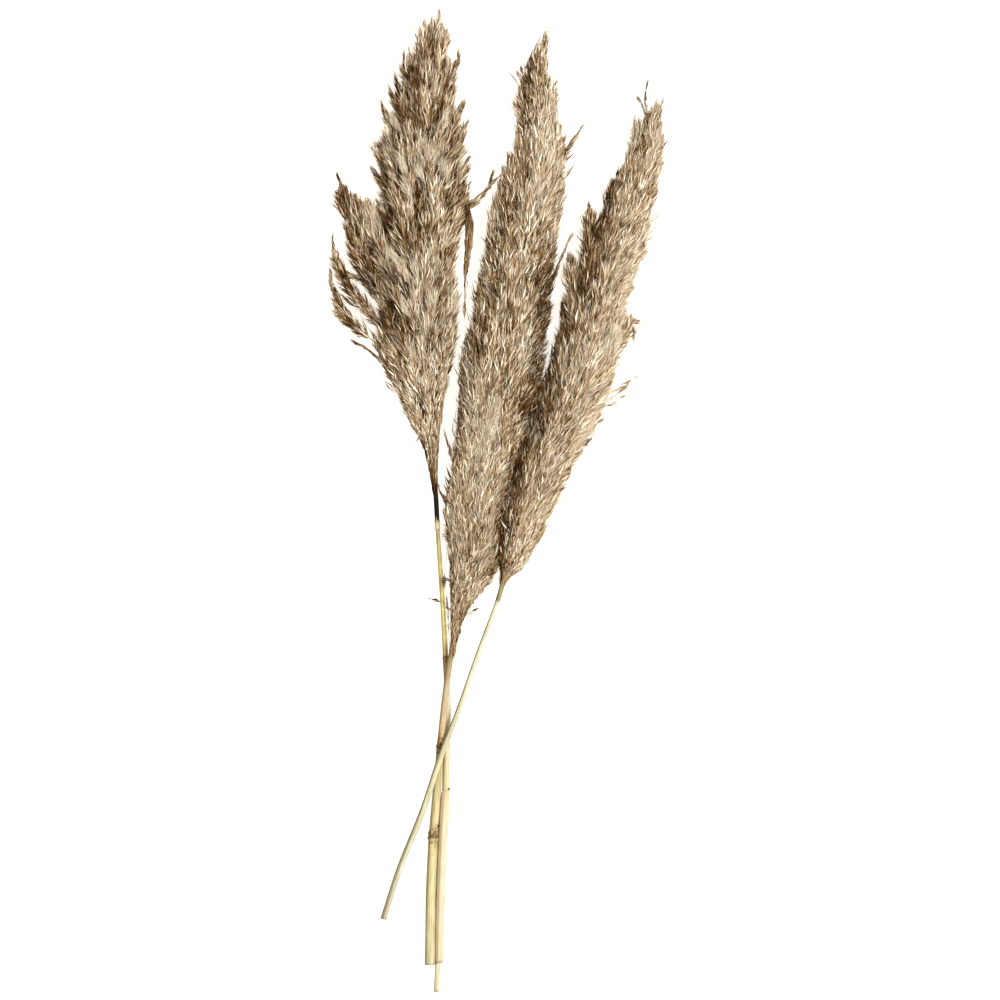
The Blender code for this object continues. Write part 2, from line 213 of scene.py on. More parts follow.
# Free side branches, as points of x, y, lift and half-width: first those that wander off on the
# left, then the short fork on the right and the twig on the neck.
LEFT_SPRAYS = [
    [(-64, 118, 12, 6), (-78, 146, 12, 8), (-86, 168, 12, 8), (-91, 188, 12, 5), (-94, 203, 12, 1)],
    [(-60, 126, 10, 6), (-72, 152, 10, 8), (-80, 174, 10, 8), (-84, 192, 10, 5), (-86, 203, 10, 1)],
    [(-66, 118, 15, 6), (-82, 142, 17, 8), (-93, 158, 17, 8.5), (-99, 178, 18, 8),
     (-103.5, 196, 18, 6), (-107.5, 211, 17, 3), (-110.3, 220, 16, 0.9), (-113.2, 228, 16, 0.3)],
    [(-105, 195, 17, 3), (-109.5, 206, 17, 3), (-112, 216, 16, 1.4)],
    [(-72, 130, 19, 4), (-90, 160, 20, 6), (-94.4, 182, 20, 5.5), (-97.5, 198, 20, 4),
     (-101, 213, 19, 1)],
    [(-62, 130, 21, 5), (-77.5, 160, 22, 6.5), (-84, 180, 22, 6.5), (-89, 194, 21, 5),
     (-92, 206, 20, 2)],
    [(-78, 126, 13, 5), (-88, 150, 14, 5.5), (-97, 168, 14, 4), (-102, 182, 14, 2)],
    [(-66, 104, 13, 4.5), (-80, 120, 13, 5), (-88, 130.5, 13, 4.5), (-98, 141, 13, 3.6),
     (-106.1, 152, 13, 3.2), (-111.9, 163.8, 13, 2.5), (-115.4, 172, 12, 1.6), (-118, 184, 12, 0.6)],
    [(-70, 98, 11, 4), (-86, 112, 11, 4.5), (-97.2, 121, 11, 4.2), (-106.1, 128.5, 10, 3.2),
     (-111, 137, 10, 2.4), (-115, 146, 10, 1.6), (-119, 154, 9, 1.0), (-119.6, 162, 9, 0.6)],
    [(-72, 128, 12, 2), (-86.1, 149.3, 14, 1.6), (-90.4, 155, 14, 1.6), (-98.9, 158.5, 13, 1.4),
     (-106.1, 162, 13, 1.1), (-109, 165, 12, 0.8)],
    [(-82, 128, 10, 0.8), (-93, 138, 11, 0.7), (-101.5, 140, 11, 0.6), (-109, 145.5, 11, 0.4)],
    [(-70, 90, 9, 1.2), (-84, 101, 9, 0.8), (-93.2, 108.6, 9, 0.5), (-102, 114, 8, 0.2)],
    [(-110, 158, 12, 0.8), (-114, 166, 12, 0.8), (-118, 171, 11, 0.5)],
]
LEFT_FORKS = [
    [(-34, 198, 16, 2.2), (-26, 206.5, 17, 2.2), (-19.6, 210.6, 18, 1.6), (-10.6, 221, 20, 1.2),
     (-4, 227, 21, 0.8), (0, 231, 22, 0.5)],
    [(-11, 220.5, 20, 0.8), (-7.5, 226, 20, 0.7), (-5.2, 232, 20, 0.4)],
    [(-45.4, 28, 13.5, 0.9), (-44.2, 17, 13.5, 0.8), (-42.4, 9.6, 13.5, 0.8), (-40.3, 4.6, 13.5, 0.7),
     (-38.6, 0.6, 13.5, 0.3)],
]
# Parts whose strands lie side by side as if combed: the limp strip and its thread, and the neck.
LEFT_COMBED = [
    [(-31, 240, 15.5, 1), (-26.5, 224, 16.5, 1.6), (-22.6, 209, 17, 2.0), (-21.4, 199, 16.5, 2.2),
     (-21.6, 189, 16, 1.9), (-22.3, 180, 15, 1.3), (-23.2, 170, 15, 0.6)],
    [(-23.2, 172, 15, 0.15), (-23.9, 157, 15, 0.08), (-24.1, 137, 14, 0.06)],
    [(-44.2, -14, 12, 1.3), (-45.0, 0, 12.6, 1.55), (-45.8, 12, 13.6, 1.95), (-46.7, 22, 14, 2.5),
     (-47.5, 32, 14.4, 3.4), (-48.2, 42, 15, 4.6), (-48.6, 56, 16, 5.5)],
    [(-44.6, -8, 12.6, 1.3), (-45.8, 8, 13.4, 1.6), (-47.6, 24, 14, 1.8), (-51.5, 38, 15, 2.2),
     (-58, 56, 16, 2.6), (-64, 76, 18, 3)],
    [(-44.4, -8, 12.6, 1.3), (-45.2, 8, 13.4, 1.6), (-45.2, 24, 14, 1.7), (-44.6, 38, 15, 1.8),
     (-43, 58, 16, 2.2), (-40, 80, 18, 3)],
]
# Tufts of pale silk that show among the lobes: foot, tip and half-width.
LEFT_TUFTS = [
    (-52, 226, -59, 238, 3.0), (-79, 180, -90, 191, 3.4), (-86, 190, -94, 206, 2.4),
    (-60, 210, -67, 228, 2.8), (-63, 158, -72, 170, 2.4), (-69, 168, -80, 179, 2.0),
    (-65, 230, -72, 248, 2.4), (-36, 226, -39, 243, 2.6), (-61, 129, -69, 144, 2.6),
    (-50, 116, -52, 132, 3.0), (-46, 138, -47, 152, 2.6), (-34, 133, -31, 149, 2.4),
    (-58, 158, -60, 171, 1.8), (-70, 262, -78, 276, 2.0), (-56, 246, -55, 258, 1.8),
    (-40, 262, -36, 278, 2.2), (-57, 96, -64, 112, 2.4), (-45, 90, -43, 106, 2.6),
]
# Spikelets that hang apart from the rest: foot, tip, width and tone.
LEFT_STRAYS = [
    (-81, 86, 9, -74, 78, 9, 0.9, 0.35), (-105, 115, 8, -98, 111, 8, 1.1, 0.2),
    (-99, 112, 8, -93, 108.6, 8, 0.9, 0.2), (-57, 48, 12, -60, 42, 12, 0.6, 0.4),
    (-6, 223, 20, -4.4, 234, 20, 0.8, 0.1), (-30, 146, 14, -33, 138, 14, 0.6, 0.4),
]
GOLDEN = math.radians(137.508)  # the turn from one branch to the next
RISE = 0.375  # how far a plume stands off its axis, up or down, for its width
POINTS = 7  # points along every branch
SPANS = POINTS - 1
TABLE_GAP = 0.35  # how close a strand comes to the table


def follow(rows, at):
    """The other columns of the rows at given first values, on smooth lines through the rows."""
    rows = np.array(rows, float)
    at = np.clip(np.asarray(at, float), rows[0, 0], rows[-1, 0])
    i = np.clip(np.searchsorted(rows[:, 0], at) - 1, 0, len(rows) - 2)
    low, high = rows[i], rows[i + 1]
    before, after = rows[np.maximum(i - 1, 0)], rows[np.minimum(i + 2, len(rows) - 1)]
    span = high[:, :1] - low[:, :1]
    t = (at[:, None] - low[:, :1]) / span
    start = (high - before) / (high[:, :1] - before[:, :1]) * span
    end = (after - low) / (after[:, :1] - low[:, :1]) * span
    value = low + t * start + t**2 * (3 * (high - low) - 2 * start - end)
    value += t**3 * (2 * (low - high) + start + end)
    return value[:, 1:]


def unit(vectors):
    return vectors / np.maximum(np.linalg.norm(vectors, axis=-1, keepdims=True), 1e-9)


def reaches(section, leftward, downward):
    """How far a plume reaches from its axis, sideways and upright, flattened underneath."""
    axis, left, right, lift = section
    rise = RISE * (right - left)
    return (np.where(leftward, axis - left, right - axis),
            np.where(downward, np.minimum(rise, lift - 1.5), rise))


def envelope(rows, y, angle, share):
    """Points at a share of the way from a plume's axis to its outside."""
    section = follow(rows, y).T
    sideways, upright = reaches(section, np.cos(angle) < 0, np.sin(angle) < 0)
    x = section[0] + share * sideways * np.cos(angle)
    z = section[3] + share * upright * np.sin(angle)
    return np.stack([x, np.clip(y, rows[0][0], rows[-1][0]), z], 1)


def depth_in(rows, points):
    """0 on the axis, 1 on the outside of a plume, more beyond it."""
    section = follow(rows, points[:, 1]).T
    x, z = points[:, 0] - section[0], points[:, 2] - section[3]
    sideways, upright = reaches(section, x < 0, z < 0)
    return np.hypot(x / np.maximum(sideways, 1), z / np.maximum(upright, 1))


def across_in(rows, points):
    """-1 on a plume's left edge, 0 on its axis and 1 on its right edge."""
    axis, left, right, _ = follow(rows, points[:, 1]).T
    x = points[:, 0]
    return (x - axis) / np.where(x < axis, axis - left, right - axis)


def breadth(rows, y):
    """A plume's width from edge to edge at given heights."""
    section = follow(rows, y)
    return section[:, 2] - section[:, 1]


def branches_to(rows, tips, length, inner):
    """Branches from a plume's axis out to given tips, less the last twig."""
    low = np.maximum(tips[:, 1] - length, rows[0][0] - 2.0)
    t = np.linspace(0, 1, POINTS)[None] * (1 - 8.0 / np.maximum(length, 20))[:, None]
    y = low[:, None] + (tips[:, 1] - low)[:, None] * t
    line = follow(rows, y.ravel()).reshape(len(tips), POINTS, 4)
    line = np.stack([line[..., 0], y, line[..., 3]], 2)
    foot = follow(rows, tips[:, 1])
    away = tips - np.stack([foot[:, 0], tips[:, 1], foot[:, 3]], 1)
    share = inner + (1 - inner) * t**0.9
    away = away[:, None] * (share * np.clip(t * 6 + 0.15, 0, 1))[..., None]
    depth = depth_in(rows, (line + away).reshape(-1, 3)).reshape(t.shape)
    limit = np.where(t > 0.7, 1.25, 0.92)
    return line + away * np.minimum(1, limit / np.maximum(depth, 0.01))[..., None]


def outer_tips(rows, count, rng, share):
    """Branch tips spread evenly over a plume's outside, fewer where it lies on the table."""
    first, last = rows[0][0], rows[-1][0]
    steps = np.linspace(first + 10, last, 400)
    weight = np.cumsum(breadth(rows, steps) + 8.0)
    top = np.interp((np.arange(count) + 0.5) / count * weight[-1], weight, steps)
    top = np.minimum(top + rng.normal(0, 2.0, count), last)
    angle = np.arange(count) * GOLDEN + rng.normal(0, 0.1, count)
    keep = (np.sin(angle) > -0.55) | (rng.uniform(0, 1, count) < 0.6)
    tips = envelope(rows, top, angle, rng.uniform(*share, count))
    return tips[keep]


def spray_lines(sprays):
    """Points along each given side branch, and its half-width at each."""
    lines, widths = [], []
    for spray in sprays:
        rows = [(float(i), *point) for i, point in enumerate(spray)]
        points = follow(rows, np.linspace(0, len(rows) - 1, POINTS))
        lines.append(points[:, :3])
        widths.append(np.maximum(points[:, 3], 0.05))
    return np.array(lines), np.array(widths)


def on_line(lines, t):
    """Points and headings at shares t along branches."""
    at = np.clip(t, 0, 0.9999) * SPANS
    i = at.astype(int)
    n = np.arange(len(lines))
    start, end = lines[n, i], lines[n, i + 1]
    before, after = lines[n, np.maximum(i - 1, 0)], lines[n, np.minimum(i + 2, SPANS)]
    part = (at - i)[:, None]
    heading = (1 - part) * (end - before) + part * (after - start)
    return start + (end - start) * part, unit(heading)


def twigs_on(lines, width, fullness, comb, tone, count, rng, length, start):
    """Twigs that stand all round their branches: foot, heading, length, tone, branch, slimness."""
    span = np.linalg.norm(np.diff(lines, axis=1), axis=2).sum(1)
    weight = span * np.minimum(width.mean(1) + 1.5, 3.5 * width.mean(1)) * fullness
    which = rng.choice(len(lines), count, p=weight / weight.sum())
    t = start + (1 - start) * (1 - rng.uniform(0, 1, count) ** 0.8)
    point, ahead = on_line(lines[which], t)
    at = np.minimum(t * SPANS, SPANS - 0.01).astype(int)
    wide = width[which, at] + (width[which, at + 1] - width[which, at]) * (t * SPANS - at)
    side = unit(np.cross(ahead, rng.normal(0, 1, (count, 3))))
    size = rng.uniform(*length, count) * (0.3 + 0.7 * (1 - t)) * np.clip(wide / 4, 0.3, 1)
    bulge = wide * (0.15 + 0.85 * (1 - t) ** 0.6) * rng.uniform(0.2, 1.1, count)
    flat = comb[which]
    off = np.where(flat, wide * rng.uniform(0.45, 1.05, count), 0.25 * bulge)
    heading = unit(ahead * (size + 8.0)[:, None] + side * np.where(flat, 0.0, bulge)[:, None])
    slim = np.where(flat, 0.12, np.clip(wide / 3, 0.25, 1))
    shade = tone[which] + rng.normal(0, 0.06, count)
    return point + side * off[:, None], heading, size, shade, which, slim


def spikelets_on(foot, heading, size, tone, slim, each, rng, length, bunch, spread, speck):
    """Spikelets in a narrow pointed bunch on every twig."""
    which = np.repeat(np.arange(len(foot)), each)
    s = (np.tile(np.arange(each), len(foot)) + rng.uniform(0, 1, len(which))) / each
    side = unit(np.cross(heading[which], rng.normal(0, 1, (len(which), 3))))
    thin = slim[which]
    start = foot[which] + heading[which] * (size[which] * s)[:, None]
    start += side * (bunch * thin * (1.1 - 0.6 * s) * rng.uniform(0.4, 1.2, len(s)))[:, None]
    ahead = unit(heading[which] + side * (thin * rng.uniform(*spread, len(which)))[:, None])
    long = rng.uniform(*length, len(which)) * (1 - 0.2 * s)
    long *= np.where(thin < 0.2, 1.0, np.clip(0.4 + 0.6 * thin, 0.55, 1))
    return start, ahead, long, tone[which] + 0.06 * (s - 0.5) + rng.normal(0, speck, len(which))


def held_in(rows, start, ahead, long, free, loose, rng):
    """Strands moved so that their ends keep near a plume's outside, but for the free ones."""
    outmost = 0.96 + loose * rng.uniform(0, 1, len(long)) ** 3
    ends = []
    for point, limit in ((start, 0.93), (start + ahead * long[:, None], outmost)):
        section = follow(rows, point[:, 1])
        keep = np.minimum(1.0, limit / np.maximum(depth_in(rows, point), 0.01))
        centre = np.stack([section[:, 0], point[:, 1], section[:, 3]], 1)
        ends.append(np.where(free[:, None], point, centre + (point - centre) * keep[:, None]))
    return ends[0], unit(ends[1] - ends[0]), np.linalg.norm(ends[1] - ends[0], axis=1)


def tufts_of(rows, tufts, rng, each=64):
    """Fine silky strands fanned out over the outside of a plume: foot, heading, length, tone."""
    hairs = np.repeat(np.array(tufts, float), each, axis=0)
    count = len(hairs)
    foot, tip, wide = hairs[:, :2].copy(), hairs[:, 2:4].copy(), hairs[:, 4:]
    way = unit(tip - foot)
    across = np.stack([way[:, 1], -way[:, 0]], 1)
    foot += across * rng.normal(0, 0.4, (count, 1)) * wide + way * rng.uniform(-1, 5, (count, 1))
    tip += across * rng.normal(0, 0.9, (count, 1)) * wide + way * rng.uniform(-5, 3, (count, 1))
    ends = []
    for place, height in ((foot, 0.84), (tip, 0.97)):
        section = follow(rows, place[:, 1])
        rise = RISE * breadth(rows, place[:, 1])
        rise *= np.sqrt(np.maximum(1 - across_in(rows, place)**2, 0.04))
        lift = section[:, 3] + height * rise + rng.uniform(-1.0, 0.6, count)
        ends.append(np.column_stack([place, lift]))
    long = np.linalg.norm(ends[1] - ends[0], axis=1)
    return ends[0], unit(ends[1] - ends[0]), long, rng.normal(0.58, 0.16, count)


def solid(name, verts, faces, uvs=None, smooth=False):
    """A mesh object from points in millimetres, with a UV for each corner; cut ends stay flat."""
    mesh = bpy.data.meshes.new(name)
    mesh.from_pydata((np.asarray(verts) * 0.001).tolist(), [], faces)
    if uvs is not None:
        flat = np.asarray(uvs, np.float32).ravel()
        for layer in ("strand", "OFBake"):
            mesh.uv_layers.new(name=layer).uv.foreach_set("vector", flat)
    if smooth:
        mesh.polygons.foreach_set("use_smooth", [len(face) < 5 for face in faces])
    piece = bpy.data.objects.new(name, mesh)
    bpy.context.scene.collection.objects.link(piece)
    return piece


def strands(name, verts, faces, uvs=None, smooth=False):
    """One mesh of many strands that have the same faces, kept off the table."""
    verts[..., 2] = np.maximum(verts[..., 2], TABLE_GAP)
    first = np.arange(len(verts)) * (verts[0].size // 3)
    corners = (np.array(faces)[None] + first[:, None, None]).reshape(-1, 3)
    return solid(name, verts.reshape(-1, 3), corners.tolist(), uvs, smooth)


def toned(tone, place):
    """UVs of strands: the tone across, a little to either side of it, and the way along."""
    uvs = np.empty((len(tone), *place.shape), np.float32)
    uvs[..., 0] = np.clip(tone, 0.02, 0.98)[:, None, None] + place[..., 0]
    uvs[..., 1] = place[..., 1]
    return uvs


def rods(name, lines, radius):
    """Thin three-sided stalks along branches, slimmer to the tip."""
    ahead = unit(np.gradient(lines, axis=1))
    across = unit(np.cross(ahead, [[[0.3, 0.1, 1.0]]]))
    lift = np.cross(ahead, across)
    slim = radius[:, None] * np.linspace(1.0, 0.45, POINTS)[None]
    verts = np.empty((len(lines), POINTS, 3, 3))
    for i in range(3):
        turn = 2 * math.pi * i / 3
        verts[:, :, i] = lines + (across * math.cos(turn) + lift * math.sin(turn)) * slim[..., None]
    end = 3 * SPANS
    faces = [(0, 1, 2), (end + 2, end + 1, end)]
    for ring in range(0, end, 3):
        for i in range(3):
            j = (i + 1) % 3
            faces += [(ring + j, ring + i, ring + 3 + i), (ring + j, ring + 3 + i, ring + 3 + j)]
    return strands(name, verts, faces)


def blades(name, rows, rng):
    """Slender three-sided blades from rows of foot, heading, length, width and tone."""
    rows = np.array(rows)
    foot, heading, length, width, tone = rows[:, :3], unit(rows[:, 3:6]), *rows[:, 6:].T
    count, widest, flat = len(rows), 0.32, 0.75
    roll = rng.uniform(0, 2 * math.pi, count)
    helper = np.where(np.abs(heading[:, 2:]) < 0.8, [[0.0, 0.0, 1.0]], [[1.0, 0.0, 0.0]])
    across = unit(np.cross(heading, helper))
    lift = np.cross(heading, across)
    bend = across * rng.normal(0, 0.05, (count, 1)) + lift * rng.normal(0, 0.05, (count, 1))
    verts = np.empty((count, 5, 3))
    verts[:, 0], verts[:, 4] = foot, foot + (heading + bend) * length[:, None]
    faces, place = [], []
    for i in range(3):
        turn = roll + 2 * math.pi * i / 3
        side = across * np.cos(turn)[:, None] + lift * (np.sin(turn) * flat)[:, None]
        verts[:, 1 + i] = foot + heading * (length * widest)[:, None] + side * width[:, None] / 2
        a, b = 1 + i, 1 + (i + 1) % 3
        faces += [(4, a, b), (0, b, a)]
        waist = [(-0.01, 0.02 + widest), (0.01, 0.02 + widest)]
        place += [[(0.0, 0.98)] + waist, [(0.0, 0.02)] + waist]
    return strands(name, verts, faces, toned(tone, np.array(place)), smooth=True)


def ribbons(name, foot, heading, length, width, tone, rng, curl):
    """Bent narrow strands, pointed at both ends."""
    count = len(foot)
    side = unit(np.cross(heading, rng.normal(0, 1, (count, 3))))
    sway = np.cross(side, heading) * rng.normal(0, 0.8, (count, 1))
    sway = sway + side * rng.normal(0, 0.8, (count, 1))
    middle = foot + heading * (0.42 * length)[:, None] + sway * (curl * length)[:, None]
    half = side * (width / 2)[:, None]
    tip = foot + heading * length[:, None]
    verts = np.stack([foot, middle + half, middle - half, tip], 1)
    faces = np.array([(0, 1, 2), (2, 1, 3)])
    place = np.array([(0.0, 0.02), (0.01, 0.42), (-0.01, 0.42), (0.0, 0.98)])[faces]
    return strands(name, verts, faces, toned(tone, place))


DARK, BROWN, TAN = srgb(40, 23, 6), srgb(119, 85, 46), srgb(176, 149, 112)
STRAW, CREAM = srgb(213, 193, 161), srgb(242, 232, 214)
SILK_GREY, SILK_PALE = srgb(152, 128, 96), srgb(230, 218, 196)
# The core's colours: brown darkened to near black as painted shade inside the plume.
CORE_DARK, CORE_BROWN = srgb(46, 30, 15), srgb(96, 70, 42)


def strand_of(wire):
    """The UVs of strands and canes: the tone or the way round, then the way along."""
    return wire.node("ShaderNodeUVMap", {"uv_map": "strand"})


def spikelet_finish(name):
    """Chaff that darkens to its foot, with fine streaks and some blades greyer than others; on the
    plumes its tone carries painted shade.
    """
    material, shader, wire = new_material(name, 0.75, Specular_IOR_Level=0.06)
    strand = strand_of(wire)
    grain = strand.scaled(60.0, 5.0, 1.0).noise(1.0, 3.0)
    level = strand.part(0) + (strand.part(1) - 0.45) * 0.30 + (grain - 0.5) * 0.2
    color = level.ramp((0.0, DARK), (0.28, BROWN), (0.52, TAN), (0.76, STRAW), (1.0, CREAM))
    greyer = strand.scaled(140.0, 0.6, 1.0).noise(1.0, 1.0).level((0.5, 0.0), (0.75, 0.5))
    feed(shader, "Base Color", color.mix(greyer, (0.9, 0.88, 0.87), "MULTIPLY"))
    return material


def silk_finish(name):
    """Fine silky hair, greyish at the foot and pale along its length."""
    material, shader, wire = new_material(name, 0.6, Specular_IOR_Level=0.12)
    strand = strand_of(wire)
    level = strand.part(0) * 0.7 + strand.part(1) * 0.3
    feed(shader, "Base Color", level.ramp((0.1, SILK_GREY), (0.8, SILK_PALE)))
    return material


def stalklet_finish(name):
    """Bare thin stalks, straw with browner stretches."""
    material, shader, wire = new_material(name, 0.6, Specular_IOR_Level=0.25)
    stretches = wire.place().scaled(500.0, 40.0, 500.0).noise(1.0, 3.0)
    feed(shader, "Base Color", stretches.ramp((0.35, BROWN), (0.65, STRAW)))
    return material


def core_finish(name):
    """The inside of a plume, dark with brown streaks; the darkness is painted shade."""
    material, shader, wire = new_material(name, 0.9, Specular_IOR_Level=0.05)
    streaks = wire.place().scaled(900.0, 60.0, 900.0).noise(1.0, 3.0)
    feed(shader, "Base Color", streaks.ramp((0.3, CORE_DARK), (0.7, CORE_BROWN)))
    return material


def core_of(name, rows, share, around=28, rings=90):
    """The bundled branches deep inside a plume: one ridged body, seen only between lobes, where its
    dark finish stands in for the shade inside.
    """
    y = np.linspace(rows[0][0] + 0.5, rows[-1][0] - 30, rings)
    angle = np.linspace(0, 2 * math.pi, around, endpoint=False)
    girth = share * (1.0 + 0.12 * np.sin(angle * 9)[None] * np.sin(y / 7.0)[:, None])
    grid = envelope(rows, np.repeat(y, around), np.tile(angle, rings), girth.ravel())
    last = (rings - 1) * around
    faces = []
    for low in range(0, last, around):
        for j in range(around):
            k = (j + 1) % around
            faces.append((low + j, low + k, low + around + k, low + around + j))
    faces += [tuple(reversed(range(around))), tuple(range(last, last + around))]
    return solid(name, grid, faces)


def shaded(spots, points):
    """How much the given spots (x, y, reach across, reach along, change) darken or lighten."""
    change = np.zeros(len(points))
    for x, y, across, along, much in spots:
        far = ((points[:, 0] - x) / across) ** 2 + ((points[:, 1] - y) / along) ** 2
        change += much * np.exp(-far)
    return change


def joined(strands_so_far, more):
    """Two sets of strands as one, column by column."""
    return [np.concatenate(pair) for pair in zip(strands_so_far, more)]


CHAFF_LENGTH, SILK_LENGTH, BRISTLE_LENGTH = (8.0, 17.0), (9.0, 15.0), (9.0, 18.0)
CHAFF_EACH, SILK_EACH = 6, 8  # spikelets and hairs on a twig
FINE_TWIGS, BROAD_TWIGS = 3800, 1500  # twigs that carry fine hairs, and broader ones
END_BRISTLES, CLEAR_BRISTLES = 3, 4  # on every branch, and more where it stands clear
LOBE_TAPER = (1.25, 1.25, 1.15, 1.0, 0.8, 0.55, 0.3)  # of a lobe's width, from its foot to its tip


def dress(name, seed, rows, lobes, sprays, combed, spots, silks, tufts, strays, branches, reach,
          inner, spread, bare, tone, sides, twigs, twig, bunch, girth, splay, speck, curl, core, loose):
    """A plume's stalklets, chaff, silk and core, riding on the bundle in place of its plain node."""
    rng = np.random.default_rng(seed)
    tips = outer_tips(rows, branches, rng, (0.86, 1.0))
    grown = len(tips)
    lines = branches_to(rows, tips, rng.uniform(*reach, grown), inner)
    width = np.minimum(rng.uniform(*spread, grown), 0.8 + 0.2 * breadth(rows, tips[:, 1]))
    named = np.array(lobes, float)
    lines = np.concatenate([lines, branches_to(rows, named[:, :3], named[:, 3], inner)])
    width = np.concatenate([width, rng.uniform(*spread, len(named)) * 0.6])
    side_lines, side_width = spray_lines(sprays + combed)
    lines = np.concatenate([lines, side_lines])
    width = np.repeat(width[:, None], POINTS, axis=1)
    width[grown:] *= LOBE_TAPER
    width = np.concatenate([width, side_width])
    count = len(lines)
    order = np.arange(count)
    shade = rng.normal(*tone, count)
    comb = order >= count - len(combed)
    fullness = np.where(comb, 4.0, np.where(order < count - len(side_lines), 1.0, 2.2))
    foot, heading, size, level, which, slim = twigs_on(
        lines, width, fullness, comb, shade, twigs, rng, twig, bare)
    start, ahead, long, tint = spikelets_on(
        foot, heading, size, level, slim, CHAFF_EACH, rng, CHAFF_LENGTH, bunch, splay, speck)
    owner = np.repeat(which, CHAFF_EACH)

    # Thin dark bristles end every branch, more of them where it stands clear of the rest.
    clear = order[grown:][~comb[grown:]]
    ends = np.concatenate(
        [np.repeat(order[~comb], END_BRISTLES), np.repeat(clear, CLEAR_BRISTLES)])
    point, forward = on_line(lines[ends], rng.uniform(0.88, 0.99, len(ends)))
    turned = unit(forward + rng.normal(0, 0.1, forward.shape))
    reached = rng.uniform(*BRISTLE_LENGTH, len(ends)) * np.clip(width[ends, 4] / 3, 0.4, 1)
    start, ahead, long, tint, owner = joined(
        (start, ahead, long, tint, owner), (point, turned, reached, shade[ends] - 0.22, ends))
    thick = rng.uniform(*girth, len(start))
    thick *= np.concatenate([0.5 + 0.5 * np.repeat(slim, CHAFF_EACH), np.full(len(ends), 0.6)])
    tint = np.where(comb[owner], shade[owner] + 0.5 * (tint - shade[owner]), tint)

    # Strands are finer where the plume is narrow, darker inside it, at its edges and in its spots.
    # The darkening inside is partly the chaff's browner inner parts and partly painted shade.
    stout = np.clip(breadth(rows, start[:, 1]) / 45, 0, 1)
    thick, long = thick * (0.55 + 0.45 * stout), long * (0.65 + 0.35 * stout)
    start, ahead, long = held_in(rows, start, ahead, long, owner >= grown, loose, rng)
    middle = start + ahead * (0.5 * long)[:, None]
    tint += 0.5 * (np.clip(depth_in(rows, middle), 0, 1.1) - 0.95) + shaded(spots, middle)
    aside = across_in(rows, middle)
    # Painted light and shade: the sides setting darkens the plume's left side and darkens its right
    # side less, or lightens it, as if lit from the right.
    tint += np.interp(aside, (-1, 0, 1), sides) - 0.22 * np.clip(np.abs(aside) * 4 - 3.3, 0, 1)
    stray = np.repeat(np.array(strays, float), 3, axis=0)
    apart = stray[:, 3:6] - stray[:, :3]
    start, ahead, long, thick, tint = joined(
        (start, ahead, long, thick, tint),
        (stray[:, :3] - 0.15 * apart, unit(apart), 1.3 * np.linalg.norm(apart, axis=1),
         stray[:, 6] * 1.5, stray[:, 7]))
    spikelets = ribbons(name + "_spikelets", start, ahead, long, thick, tint, rng, curl)
    spikelets.data.materials.append(spikelet_finish(name + "_chaff"))

    # Silk grows from some twigs more than others, most on top and hardly on what is combed.
    silky = np.exp(rng.normal(0, 1.2, count))[which] * (1 + 3 * shaded(silks, foot))
    on_top = foot[:, 2] > follow(rows, foot[:, 1])[:, 3] + 4
    silky *= np.where(on_top, 3.0, 1.0) * np.where(comb[which], 0.1, 1.0)
    fine_twigs = rng.choice(len(foot), FINE_TWIGS, p=silky / silky.sum())
    chosen = np.concatenate([fine_twigs, rng.choice(np.flatnonzero(~comb[which]), BROAD_TWIGS)])
    start, ahead, long, tint = spikelets_on(
        foot[chosen], heading[chosen], size[chosen], level[chosen], slim[chosen], SILK_EACH, rng,
        SILK_LENGTH, bunch, splay, speck)
    fine = np.arange(len(start)) < FINE_TWIGS * SILK_EACH
    free = np.repeat(which[chosen], SILK_EACH) >= grown
    start, ahead, long = held_in(rows, start, ahead, long, free, loose, rng)
    thick = np.where(fine, rng.uniform(0.25, 0.5, len(start)), rng.uniform(0.7, 1.1, len(start)))
    # The spots' painted shade and own tone carry over to the silk.
    tint = np.where(fine, 0.5, 0.7) + 0.5 * (tint - 0.5) + 0.6 * shaded(spots, start)
    if tufts:
        extra = tufts_of(rows, tufts, rng)
        start, ahead, long, tint, thick = joined(
            (start, ahead, long, tint, thick), (*extra, rng.uniform(0.35, 0.6, len(extra[0]))))
    silk = ribbons(name + "_silk", start, ahead, long, thick, tint, rng, 0.08)
    silk.data.materials.append(silk_finish(name + "_silk_hair"))

    radius = np.clip(0.1 + 0.12 * width.mean(1), 0.22, 0.45)
    stalklets = rods(name + "_stalklets", lines, radius)
    stalklets.data.materials.append(stalklet_finish(name + "_stalklet_straw"))
    inside = core_of(name + "_core", rows, core)
    inside.data.materials.append(core_finish(name + "_core_finish"))
    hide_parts("plume_" + name)
    for piece in (spikelets, silk, stalklets, inside):
        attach(piece, "root")
